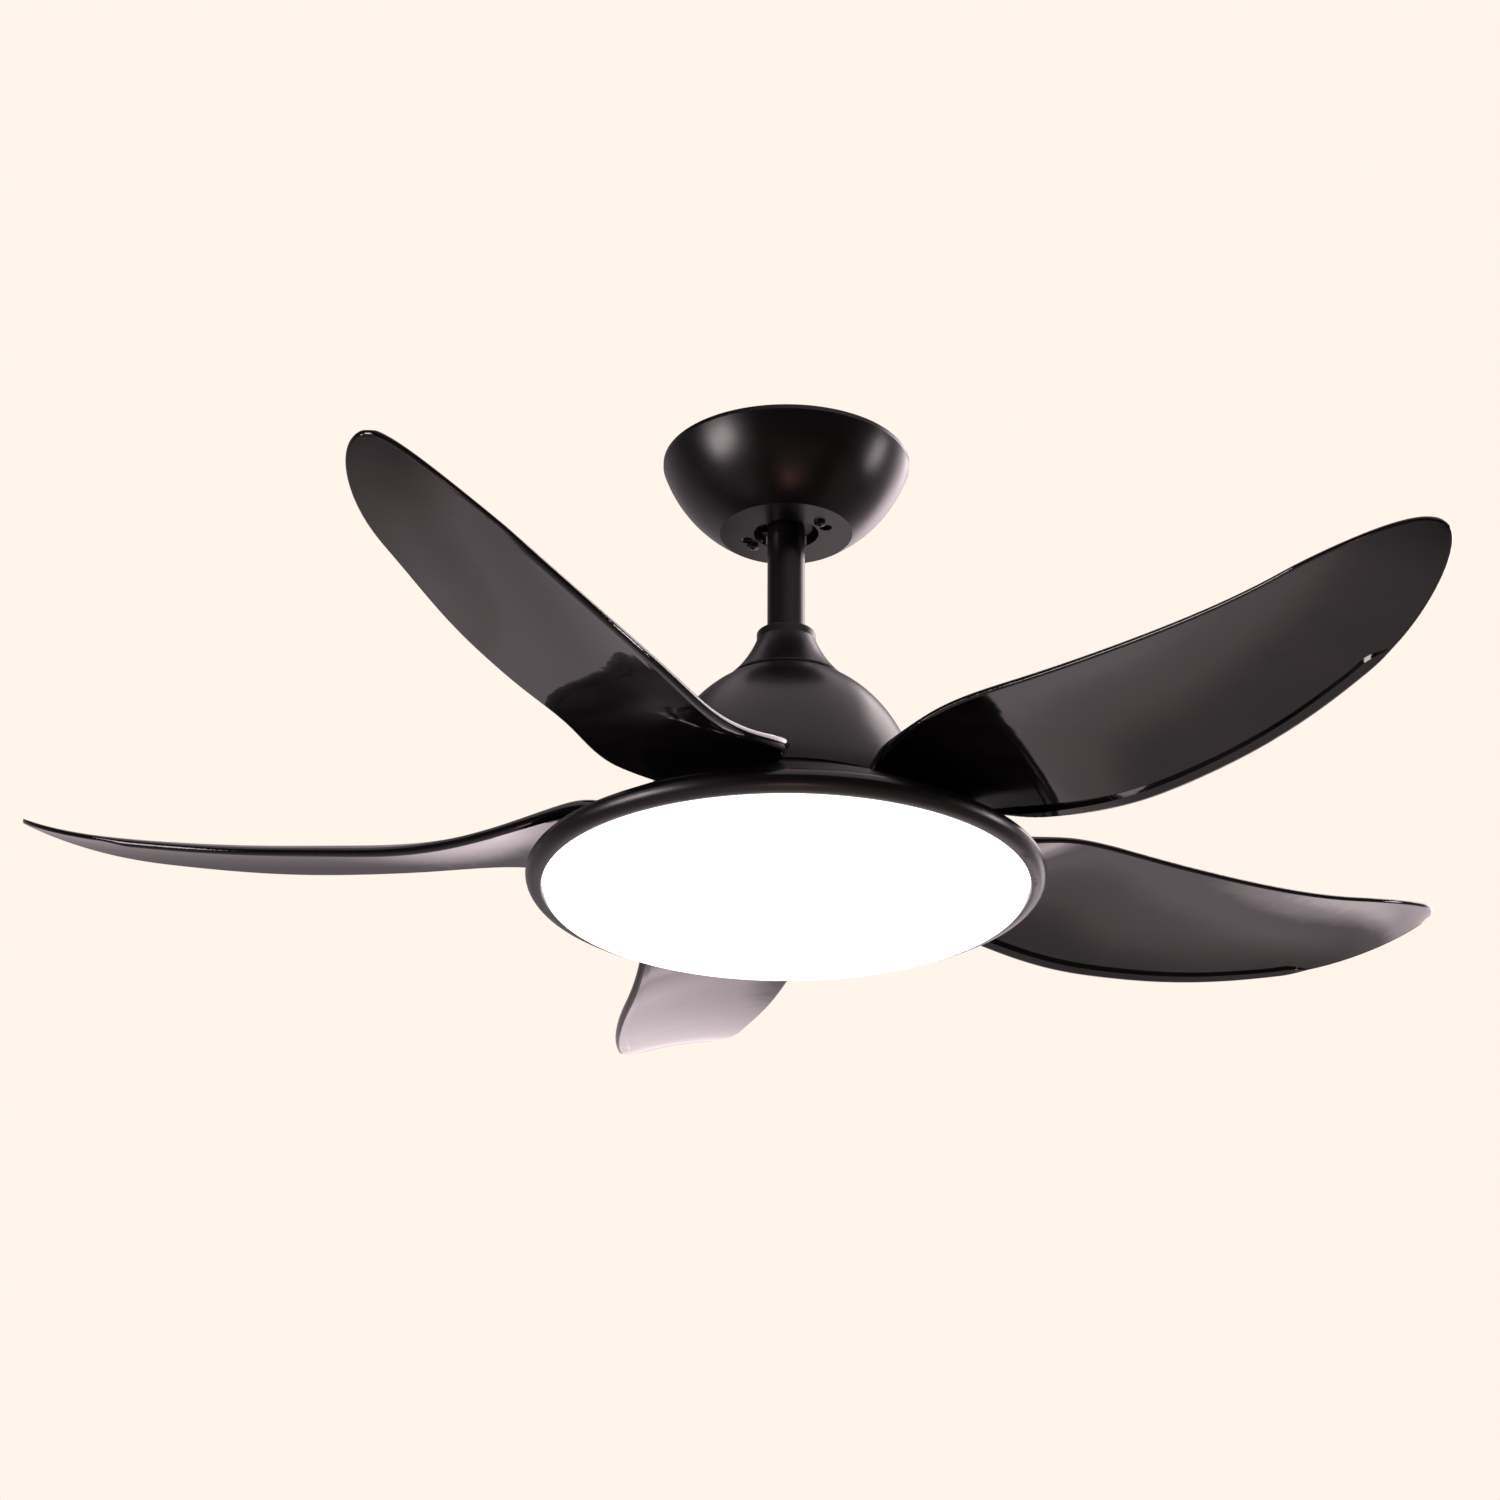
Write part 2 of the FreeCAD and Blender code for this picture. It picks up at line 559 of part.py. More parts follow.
def ceiling_bracket():
    plate = rounded_block(
        -PLATE_LENGTH / 2, PLATE_LENGTH / 2, -PLATE_WIDTH / 2, PLATE_WIDTH / 2, -SHEET, 0, PLATE_CORNER
    )
    half = RECEIVER_WING_WIDTH / 2
    receiver_wing = rounded_block(-half, half, -RECEIVER_WING_REACH, 0, -SHEET, 0, WING_CORNER)
    half = TERMINAL_WING_WIDTH / 2
    terminal_wing = rounded_block(-half, half, 0, TERMINAL_WING_REACH, -SHEET, 0, WING_CORNER)
    body = plate.fuse([receiver_wing, terminal_wing, *bracket_legs(), socket_seat()])
    body = body.fuse([ear(EAR_ANGLE), ear(EAR_ANGLE + 180)])
    for side in (-1, 1):
        body = body.cut(slot_hole(side * SLOT_SPACING / 2))
    body = body.cut(disc(CABLE_HOLE_RADIUS, -SHEET, 0))
    body = body.cut(disc(M4_RADIUS, -SHEET, 0, EARTH_SCREW_X, 0))
    for place in ear_screw_places():
        hole_top = CANOPY_FOOT_Z + CANOPY_SCREW_LENGTH
        body = body.cut(disc(M4_RADIUS, CANOPY_FLOOR_Z, hole_top, place.x, place.y))
    return body.removeSplitter()


def side_circle(a, b, bulge):
    """Centre and radius of the circle through a and b whose arc between them stands out by bulge."""
    half = (b - a).Length / 2
    radius = (half**2 + bulge**2) / (2 * bulge)
    away = bulge_middle(a, b, bulge) - (a + b) * 0.5
    return (a + b) * 0.5 + away * ((bulge - radius) / bulge), radius


def canopy():
    rim_z = -CEILING_GAP
    band_z = rim_z - CANOPY_RIM_BAND
    foot = on_axis(CANOPY_FLAT_RADIUS, CANOPY_FOOT_Z)
    top = on_axis(CANOPY_RIM_RADIUS, band_z)
    centre, radius = side_circle(foot, top, CANOPY_BULGE)

    def inside_at(z):
        return on_axis(centre.x + math.sqrt((radius - CANOPY_WALL) ** 2 - (z - centre.z) ** 2), z)

    inner_rim = CANOPY_RIM_RADIUS - CANOPY_WALL
    bowl = turned(
        [
            line(on_axis(CANOPY_RIM_RADIUS, rim_z), top),
            arc(top, bulge_middle(foot, top, CANOPY_BULGE), foot),
            line(foot, on_axis(CANOPY_HOLE_RADIUS, CANOPY_FOOT_Z)),
            line(on_axis(CANOPY_HOLE_RADIUS, CANOPY_FOOT_Z), on_axis(CANOPY_HOLE_RADIUS, CANOPY_FLOOR_Z)),
            line(on_axis(CANOPY_HOLE_RADIUS, CANOPY_FLOOR_Z), inside_at(CANOPY_FLOOR_Z)),
            arc(inside_at(CANOPY_FLOOR_Z), inside_at((CANOPY_FLOOR_Z + band_z) / 2), inside_at(band_z)),
            line(inside_at(band_z), on_axis(inner_rim, rim_z)),
            line(on_axis(inner_rim, rim_z), on_axis(CANOPY_RIM_RADIUS, rim_z)),
        ]
    )
    for angle in (EAR_ANGLE, EAR_ANGLE + 180):
        bowl = bowl.cut(keyhole(angle))
    return bowl


def keyhole(angle):
    """A screw's curved slot in the canopy's floor, with a wide end that its head passes through."""
    narrow = M4_RADIUS
    wide_place = at_angle(EAR_RADIUS, angle + KEYHOLE_TURN)
    screw_place = at_angle(EAR_RADIUS, angle)
    wide = CANOPY_SCREW_HEAD_RADIUS + KEYHOLE_WIDE_GAP
    hole = disc(wide, CANOPY_FOOT_Z, CANOPY_FLOOR_Z, wide_place.x, wide_place.y)
    hole = hole.fuse(disc(narrow, CANOPY_FOOT_Z, CANOPY_FLOOR_Z, screw_place.x, screw_place.y))
    way = wide_place - screw_place
    neck = block(0, way.Length, -narrow, narrow, CANOPY_FOOT_Z, CANOPY_FLOOR_Z)
    neck.rotate(Vector(0, 0, 0), Z_AXIS, math.degrees(math.atan2(way.y, way.x)))
    neck.translate(Vector(screw_place.x, screw_place.y, 0))
    return hole.fuse(neck)


def canopy_screws():
    one = screw(CANOPY_SCREW_HEAD_RADIUS, M4_HEAD_HEIGHT, M4_RADIUS, CANOPY_SCREW_LENGTH)
    return Part.makeCompound([placed(one, p.x, p.y, CANOPY_FOOT_Z) for p in ear_screw_places()])


def earth_screw():
    return placed(screw(M4_HEAD_RADIUS, M4_HEAD_HEIGHT, M4_RADIUS, SHEET), EARTH_SCREW_X, 0, -SHEET)


def terminal_places():
    """The middles of the three terminals' screw wells."""
    y = TERMINAL_WING_REACH - TERMINAL_SIZE[1] + TERMINAL_WELL_Y
    return [Vector((i - 1) * TERMINAL_PITCH, y, -SHEET - TERMINAL_SIZE[2]) for i in range(3)]


def terminal_block():
    length, width, height = TERMINAL_SIZE
    y_low = TERMINAL_WING_REACH - width
    foot = -SHEET - height
    body = block(-length / 2, length / 2, y_low, TERMINAL_WING_REACH, foot, -SHEET)
    entry_depth, entry_height = TERMINAL_ENTRY
    entry_foot = foot + height / 2
    body = body.cut(
        block(-length / 2, length / 2, y_low, y_low + entry_depth, entry_foot, entry_foot + entry_height)
    )
    seat = foot + TERMINAL_WELL_DEPTH
    shank_radius, shank_length = TERMINAL_SCREW_SHANK
    for place in terminal_places():
        body = body.cut(disc(TERMINAL_WELL_RADIUS, foot, seat, place.x, place.y))
        body = body.cut(disc(shank_radius, seat, seat + shank_length, place.x, place.y))
    return body


def terminal_screws():
    """Each has its head at the bottom of its well."""
    head_radius, head_height = TERMINAL_SCREW_HEAD
    one = screw(head_radius, head_height, *TERMINAL_SCREW_SHANK)
    seats = [placed(one, p.x, p.y, p.z + TERMINAL_WELL_DEPTH) for p in terminal_places()]
    return Part.makeCompound(seats)


def receiver_place():
    """The case's lowest y, and the z of its open foot."""
    return -RECEIVER_WING_REACH + RECEIVER_IN_FROM_WING, -SHEET - RECEIVER_SIZE[2]


def receiver_case():
    length, width, height = RECEIVER_SIZE
    y_low, foot = receiver_place()
    shell = rounded_block(-length / 2, length / 2, y_low, y_low + width, foot, -SHEET, RECEIVER_CORNER)
    inside = block(
        -length / 2 + RECEIVER_WALL,
        length / 2 - RECEIVER_WALL,
        y_low + RECEIVER_WALL,
        y_low + width - RECEIVER_WALL,
        foot,
        -SHEET - RECEIVER_WALL,
    )
    return shell.cut(inside)


def receiver_lid():
    length, width, _ = RECEIVER_SIZE
    y_low, foot = receiver_place()
    lid = rounded_block(
        -length / 2, length / 2, y_low, y_low + width, foot - RECEIVER_WALL, foot, RECEIVER_CORNER
    )
    inset = RECEIVER_WALL + LID_GAP
    step = block(
        -length / 2 + inset, length / 2 - inset, y_low + inset, y_low + width - inset, foot, foot + LID_STEP
    )
    return lid.fuse(step)


def receiver_board():
    length, width, _ = RECEIVER_SIZE
    y_low, foot = receiver_place()
    gap = RECEIVER_WALL
    low = foot + LID_STEP
    high = low + BOARD_SHEET
    board = block(-length / 2 + gap, length / 2 - gap, y_low + gap, y_low + width - gap, low, high)
    middle = y_low + width / 2
    relay_x, relay_y, relay_z = RELAY_SIZE
    relay_start = RELAY_X - relay_x / 2
    relay_side = middle - relay_y / 2
    relay = block(relay_start, relay_start + relay_x, relay_side, relay_side + relay_y, high, high + relay_z)
    capacitor = disc(CAPACITOR_RADIUS, high, high + CAPACITOR_HEIGHT, CAPACITOR_X, middle)
    return board.fuse([relay, capacitor])


# ================================================================ hanger ball, pin and downrod
def across_axis(radius, length, z, direction):
    """A round bar through the fan's axis."""
    start = Vector(0, 0, z) - direction * (length / 2)
    return Part.makeCylinder(radius, length, start, direction)


ACROSS_X = Vector(1, 0, 0)
ACROSS_Y = Vector(0, 1, 0)


def hanger_ball():
    centre = Vector(0, 0, BALL_Z)
    body = Part.makeSphere(BALL_RADIUS, centre)
    body = body.common(disc(BALL_RADIUS + TOOL_REACH, BALL_Z - BALL_BELOW, BALL_Z + BALL_ABOVE))
    body = body.cut(disc(ROD_RADIUS, BALL_Z - BALL_RADIUS, BALL_Z + BALL_RADIUS))
    body = body.cut(across_axis(HANGER_PIN_RADIUS + RUNNING_GAP, 3 * BALL_RADIUS, BALL_Z, ACROSS_Y))
    half = KEY_SLOT_WIDTH / 2
    slot = block(-BALL_RADIUS - TOOL_REACH, 0, -half, half, BALL_Z - BALL_RADIUS, BALL_Z + BALL_RADIUS)
    slot = slot.cut(Part.makeSphere(BALL_RADIUS - KEY_SLOT_DEPTH, centre))
    return body.cut(slot)


def hanger_pin():
    length = 2 * (BALL_RADIUS - HANGER_PIN_IN_BALL)
    body = across_axis(HANGER_PIN_RADIUS, length, BALL_Z, ACROSS_Y)
    return body.makeChamfer(PIN_CHAMFER, [e for e in body.Edges if e.Curve.TypeId == "Part::GeomCircle"])


def downrod():
    body = ring(ROD_RADIUS, ROD_RADIUS - ROD_WALL, ROD_FOOT_Z, ROD_TOP_Z)
    body = body.cut(across_axis(HANGER_PIN_RADIUS + RUNNING_GAP, 4 * ROD_RADIUS, BALL_Z, ACROSS_Y))
    return body.cut(across_axis(ROD_PIN_RADIUS, 4 * ROD_RADIUS, ROD_PIN_Z, ACROSS_Y))


def lead_grommet():
    low = ROD_TOP_Z - GROMMET_DEPTH
    high = ROD_TOP_Z + GROMMET_BRIM
    body = disc(ROD_RADIUS - ROD_WALL, low, ROD_TOP_Z).fuse(disc(ROD_RADIUS, ROD_TOP_Z, high))
    return body.cut(disc(LEAD_RADIUS, low, high, LEAD_ROD_OFFSET, 0)).removeSplitter()


def lead_path_points():
    step_start, step_end = LEAD_STRAIGHT_OVER_SHAFT
    return [
        Vector(LEAD_ROD_OFFSET, 0, ROD_TOP_Z + LEAD_ABOVE_ROD),
        Vector(LEAD_ROD_OFFSET, 0, SHAFT_TOP_Z + step_start),
        Vector(LEAD_SHAFT_OFFSET, 0, SHAFT_TOP_Z + step_end),
        Vector(LEAD_SHAFT_OFFSET, 0, SHAFT_FOOT_Z - LEAD_BELOW_SHAFT),
    ]


def rounded_path(points, radius):
    """Straight runs between the points, with tangent arcs of that radius at the inner ones."""
    edges = []
    start = points[0]
    for before, corner, after in zip(points, points[1:], points[2:]):
        back = (before - corner).normalize()
        ahead = (after - corner).normalize()
        half = back.getAngle(ahead) / 2
        reach = radius / math.tan(half)
        into = corner + back * reach
        out = corner + ahead * reach
        bisector = (back + ahead).normalize()
        middle = corner + bisector * (radius / math.sin(half) - radius)
        edges += [line(start, into), arc(into, middle, out)]
        start = out
    edges.append(line(start, points[-1]))
    return Part.Wire(edges)


def motor_lead():
    """The jacketed lead from the canopy to the lamp, beside the cross pins and down the hollow shaft."""
    points = lead_path_points()
    path = rounded_path(points, LEAD_BEND)
    section = Part.Wire(Part.makeCircle(LEAD_RADIUS, points[0], Z_AXIS))
    return path.makePipeShell([section], True, False)


def lead_plug(x, z_low, z_high):
    half_x, half_y = (size / 2 for size in PLUG_SIZE)
    return rounded_block(x - half_x, x + half_x, -half_y, half_y, z_low, z_high, PLUG_CORNER)


def canopy_plug():
    z_low = ROD_TOP_Z + LEAD_ABOVE_ROD
    return lead_plug(LEAD_ROD_OFFSET, z_low, z_low + CANOPY_PLUG_LENGTH)


def lamp_plug():
    z_high = SHAFT_FOOT_Z - LEAD_BELOW_SHAFT
    return lead_plug(LEAD_SHAFT_OFFSET, z_high - LAMP_PLUG_LENGTH, z_high)


# ================================================================ yoke, cover and bell
def motor_yoke():
    body = ring(YOKE_RADIUS, ROD_RADIUS, ROD_FOOT_Z, YOKE_TOP_Z)
    body = body.fuse(ring(YOKE_RADIUS, BEARING_BORE_RADIUS, YOKE_FOOT_Z, ROD_FOOT_Z))
    flange_foot = YOKE_FLANGE_Z - YOKE_FLANGE_THICKNESS
    body = body.fuse(ring(YOKE_FLANGE_RADIUS, ROD_RADIUS, flange_foot, YOKE_FLANGE_Z))
    body = body.cut(across_axis(ROD_PIN_RADIUS, 4 * YOKE_RADIUS, ROD_PIN_Z, ACROSS_Y))
    body = body.cut(set_screw_bar(YOKE_RADIUS + TOOL_REACH))
    for place in bell_screw_places():
        low = YOKE_FLANGE_Z - YOKE_FLANGE_THICKNESS
        body = body.cut(disc(M4_RADIUS, low, YOKE_FLANGE_Z, place.x, place.y))
    return body.removeSplitter()


def set_screw_bar(length):
    return Part.makeCylinder(SET_SCREW_RADIUS, length, Vector(0, 0, YOKE_TOP_Z - SET_SCREW_DROP), ACROSS_X)


def yoke_set_screw():
    """Bears on the rod and stands a little out of the yoke, with a straight slot."""
    end = YOKE_RADIUS + SET_SCREW_STANDS_OUT
    slot_depth, slot_width = SET_SCREW_SLOT
    middle = YOKE_TOP_Z - SET_SCREW_DROP
    slot = block(
        end - slot_depth,
        end,
        -SET_SCREW_RADIUS,
        SET_SCREW_RADIUS,
        middle - slot_width / 2,
        middle + slot_width / 2,
    )
    return set_screw_bar(end).cut(disc(ROD_RADIUS, ROD_FOOT_Z, YOKE_TOP_Z)).cut(slot)


def rod_pin():
    head_radius, head_height = ROD_PIN_HEAD
    length = 2 * YOKE_RADIUS + ROD_PIN_PAST_YOKE
    body = Part.makeCylinder(ROD_PIN_RADIUS, length, Vector(0, -YOKE_RADIUS, ROD_PIN_Z), ACROSS_Y)
    head_place = Vector(0, -YOKE_RADIUS - head_height, ROD_PIN_Z)
    body = body.fuse(Part.makeCylinder(head_radius, head_height, head_place, ACROSS_Y))
    reach = 2 * ROD_PIN_RADIUS
    clip_hole = disc(CLIP_RADIUS, ROD_PIN_Z - reach, ROD_PIN_Z + reach, 0, CLIP_HOLE_Y)
    return body.cut(clip_hole).removeSplitter()


def spring_clip():
    """The clip that keeps the rod pin in: one leg through the pin, and one that springs round it."""
    high = ROD_PIN_Z + CLIP_ABOVE_PIN
    low = ROD_PIN_Z - CLIP_BELOW_PIN
    inner_top = Vector(0, CLIP_HOLE_Y, high)
    outer_top = Vector(CLIP_BEND, CLIP_HOLE_Y, high)
    bend_top = Vector(CLIP_BEND / 2, CLIP_HOLE_Y, high + CLIP_BEND / 2)
    path = Part.Wire(
        [
            line(Vector(0, CLIP_HOLE_Y, low), inner_top),
            arc(inner_top, bend_top, outer_top),
            line(outer_top, Vector(CLIP_BEND, CLIP_HOLE_Y, low + CLIP_OUTER_LEG_SHORTER)),
        ]
    )
    section = Part.Wire(Part.makeCircle(CLIP_RADIUS, Vector(0, CLIP_HOLE_Y, low), Z_AXIS))
    return path.makePipeShell([section], True, False)


def coupling_cover():
    collar_z = COVER_TOP_Z - COVER_COLLAR
    flare_foot_z = COVER_FOOT_Z + COVER_EDGE
    hole = ROD_RADIUS + TOUCH_GAP
    edge = COVER_EDGE
    start = on_axis(COVER_TOP_RADIUS, collar_z)
    end = on_axis(COVER_FOOT_RADIUS, flare_foot_z)
    inner_start = on_axis(COVER_TOP_RADIUS - COVER_WALL, collar_z - 1)
    inner_end = on_axis(COVER_FOOT_RADIUS - 1.4 * COVER_WALL, COVER_FOOT_Z)
    rim = COVER_TOP_RADIUS - edge
    return turned(
        [
            line(on_axis(hole, COVER_TOP_Z), on_axis(rim, COVER_TOP_Z)),
            arc(
                on_axis(rim, COVER_TOP_Z),
                on_axis(rim + edge * math.sqrt(0.5), COVER_TOP_Z - edge * (1 - math.sqrt(0.5))),
                on_axis(COVER_TOP_RADIUS, COVER_TOP_Z - edge),
            ),
            line(on_axis(COVER_TOP_RADIUS, COVER_TOP_Z - edge), start),
            arc(start, bulge_middle(start, end, COVER_HOLLOW), end),
            line(end, on_axis(COVER_FOOT_RADIUS, COVER_FOOT_Z)),
            line(on_axis(COVER_FOOT_RADIUS, COVER_FOOT_Z), inner_end),
            arc(inner_end, bulge_middle(inner_start, inner_end, COVER_HOLLOW), inner_start),
            line(inner_start, on_axis(COVER_TOP_RADIUS - COVER_WALL, COVER_TOP_Z - COVER_WALL)),
            line(
                on_axis(COVER_TOP_RADIUS - COVER_WALL, COVER_TOP_Z - COVER_WALL),
                on_axis(hole, COVER_TOP_Z - COVER_WALL),
            ),
            line(on_axis(hole, COVER_TOP_Z - COVER_WALL), on_axis(hole, COVER_TOP_Z)),
        ]
    )


def bell_curve(inset):
    """A quarter of an ellipse from the bell's top edge down to its foot, moved in by inset."""
    bevel = BELL_SHOULDER[1]
    across = BELL_FOOT_RADIUS - inset
    flat_share = BELL_TOP_RADIUS / BELL_FOOT_RADIUS
    up = (BELL_HEIGHT - bevel) / math.sqrt(1 - flat_share**2) - inset
    top_z = BELL_TOP_Z - bevel - inset
    sweep = math.asin((top_z - BELL_FOOT_Z) / up)
    steps = 9
    points = [
        on_axis(across * math.cos(sweep * i / steps), BELL_FOOT_Z + up * math.sin(sweep * i / steps))
        for i in range(steps + 1)
    ]
    curve = Part.BSplineCurve()
    curve.interpolate(points)
    return curve.toShape(), points[0], points[-1]


def bell_screw_places():
    return [at_angle(BELL_SCREW_CIRCLE, 30 + 120 * i) for i in range(3)]


def motor_bell():
    hole = YOKE_RADIUS + TOUCH_GAP
    outer, outer_foot, outer_top = bell_curve(0.0)
    inner, inner_foot, inner_top = bell_curve(BELL_WALL)
    across, down = BELL_SHOULDER
    shoulder = on_axis(outer_top.x - across, BELL_TOP_Z)
    inner_shoulder = on_axis(inner_top.x - down, BELL_TOP_Z - BELL_WALL)
    edges = [
        line(on_axis(hole, BELL_TOP_Z), shoulder),
        line(shoulder, outer_top),
        outer,
        line(outer_foot, inner_foot),
        inner,
        line(inner_top, inner_shoulder),
        line(inner_shoulder, on_axis(hole, BELL_TOP_Z - BELL_WALL)),
        line(on_axis(hole, BELL_TOP_Z - BELL_WALL), on_axis(hole, BELL_TOP_Z)),
    ]
    body = turned(edges)
    for place in bell_screw_places():
        body = body.cut(disc(M4_CLEARANCE_RADIUS, BELL_TOP_Z - BELL_WALL, BELL_TOP_Z, place.x, place.y))
    return body


def bell_screws():
    one = screw(M4_HEAD_RADIUS, M4_HEAD_HEIGHT, M4_RADIUS, BELL_WALL + YOKE_FLANGE_THICKNESS)
    return Part.makeCompound([placed(one, p.x, p.y, BELL_TOP_Z, True) for p in bell_screw_places()])


# ================================================================ motor
def motor_shaft():
    """The fixed hollow shaft, thicker between the two bearings where the stator sits."""
    shoulder_top = UPPER_BEARING_Z - BEARING_WIDTH / 2
    shoulder_foot = LOWER_BEARING_Z + BEARING_WIDTH / 2
    body = disc(BEARING_BORE_RADIUS, SHAFT_FOOT_Z, SHAFT_TOP_Z)
    body = body.fuse(disc(SHAFT_SHOULDER_RADIUS, shoulder_foot, shoulder_top))
    return body.cut(disc(SHAFT_BORE_RADIUS, SHAFT_FOOT_Z, SHAFT_TOP_Z)).removeSplitter()


def groove(z):
    return Part.makeTorus(BEARING_PITCH_RADIUS, BEARING_BALL_RADIUS + RUNNING_GAP, Vector(0, 0, z), Z_AXIS)


def inner_ring(z):
    half = BEARING_WIDTH / 2
    body = ring(BEARING_BORE_RADIUS + RING_THICKNESS, BEARING_BORE_RADIUS, z - half, z + half)
    return body.cut(groove(z))


def outer_ring(z):
    half = BEARING_WIDTH / 2
    body = ring(BEARING_OUTER_RADIUS, BEARING_OUTER_RADIUS - RING_THICKNESS, z - half, z + half)
    return body.cut(groove(z))


def bearing_ball_places(z):
    return [at_angle(BEARING_PITCH_RADIUS, 360.0 * i / BEARING_BALLS, z) for i in range(BEARING_BALLS)]


def bearing_balls(z):
    return Part.makeCompound([Part.makeSphere(BEARING_BALL_RADIUS, p) for p in bearing_ball_places(z)])


def bearing_cage(z):
    """A ribbon round the pitch circle with a round pocket for each ball."""
    half_band = CAGE_THICKNESS / 2
    half_height = BEARING_BALL_RADIUS + CAGE_PAST_BALL
    body = ring(
        BEARING_PITCH_RADIUS + half_band, BEARING_PITCH_RADIUS - half_band, z - half_height, z + half_height
    )
    reach = BEARING_PITCH_RADIUS + CAGE_THICKNESS
    pocket = Part.makeCylinder(BEARING_BALL_RADIUS + 2 * RUNNING_GAP, reach, Vector(0, 0, z), ACROSS_X)
    for window in around(pocket, BEARING_BALLS):
        body = body.cut(window)
    return body


def stator_core():
    low = STATOR_Z - STATOR_HEIGHT / 2
    high = STATOR_Z + STATOR_HEIGHT / 2
    tooth_end = STATOR_RADIUS - STATOR_RIM / 2
    half = TOOTH_WIDTH / 2
    tooth = block(STATOR_HUB_RADIUS - TOOL_REACH, tooth_end, -half, half, low, high)
    body = ring(STATOR_HUB_RADIUS, SHAFT_SHOULDER_RADIUS, low, high)
    body = body.fuse(around(tooth, STATOR_SLOTS))
    rim = ring(STATOR_RADIUS, STATOR_RADIUS - STATOR_RIM, low, high)
    mouth = block(0, STATOR_RADIUS + TOOL_REACH, -SLOT_MOUTH / 2, SLOT_MOUTH / 2, low, high)
    half_pitch = 180.0 / STATOR_SLOTS
    for opening in around(mouth, STATOR_SLOTS, half_pitch):
        rim = rim.cut(opening)
    return body.fuse(rim).removeSplitter()


def stator_coils():
    low = STATOR_Z - STATOR_HEIGHT / 2 - COIL_OVERHANG
    high = STATOR_Z + STATOR_HEIGHT / 2 + COIL_OVERHANG
    r_low = STATOR_HUB_RADIUS + COIL_TO_HUB
    r_high = STATOR_RADIUS - STATOR_RIM - COIL_TO_RIM
    half = TOOTH_WIDTH / 2 + COIL_THICKNESS
    outside = block(r_low, r_high, -half, half, low, high)
    along = [e for e in outside.Edges if abs(e.tangentAt(e.FirstParameter).x) > 0.99]
    outside = outside.makeFillet(COIL_CORNER, along)
    window = block(
        r_low, r_high, -TOOTH_WIDTH / 2, TOOTH_WIDTH / 2, low + COIL_OVERHANG, high - COIL_OVERHANG
    )
    return Part.makeCompound(around(outside.cut(window), STATOR_SLOTS))


def rotor_back_iron():
    low = STATOR_Z - IRON_HALF_HEIGHT
    high = STATOR_Z + IRON_HALF_HEIGHT
    body = ring(IRON_OUTER_RADIUS, IRON_INNER_RADIUS, low, high)
    for hole in cap_screw_holes(low, high):
        body = body.cut(hole)
    return body


def rotor_magnets():
    """Arc magnets on the inside of the back iron, with a small gap between neighbours."""
    low = STATOR_Z - STATOR_HEIGHT / 2 - MAGNET_PAST_STATOR
    high = STATOR_Z + STATOR_HEIGHT / 2 + MAGNET_PAST_STATOR
    pitch = 360.0 / MAGNET_COUNT
    body = Part.makeCylinder(IRON_INNER_RADIUS, high - low, Vector(0, 0, low), Z_AXIS, pitch - MAGNET_SPACE)
    hole = Part.makeCylinder(MAGNET_INNER_RADIUS, high - low, Vector(0, 0, low), Z_AXIS, 360)
    return Part.makeCompound(around(body.cut(hole), MAGNET_COUNT))


def cap_screw_holes(low, high):
    hole = disc(CAP_SCREW_RADIUS, low, high, CAP_SCREW_CIRCLE, 0)
    return around(hole, CAP_SCREW_COUNT)


def rotor_upper_cap():
    iron_top = STATOR_Z + IRON_HALF_HEIGHT
    bearing_top = UPPER_BEARING_Z + BEARING_WIDTH / 2
    bearing_foot = UPPER_BEARING_Z - BEARING_WIDTH / 2
    web_top = UPPER_BEARING_Z + CAP_WEB / 2
    body = ring(CAP_BOSS_RADIUS, BEARING_OUTER_RADIUS, bearing_foot, bearing_top)
    body = body.fuse(ring(CAP_BOSS_RADIUS, CAP_LIP_RADIUS, bearing_top, bearing_top + CAP_LIP))
    body = body.fuse(ring(IRON_OUTER_RADIUS, BEARING_OUTER_RADIUS, web_top - CAP_WEB, web_top))
    body = body.fuse(ring(IRON_OUTER_RADIUS, IRON_INNER_RADIUS, iron_top, web_top))
    vent = disc(CAP_VENT_RADIUS, web_top - CAP_WEB, web_top, (CAP_BOSS_RADIUS + IRON_INNER_RADIUS) / 2, 0)
    for hole in around(vent, CAP_VENTS) + cap_screw_holes(iron_top, web_top):
        body = body.cut(hole)
    return body.removeSplitter()


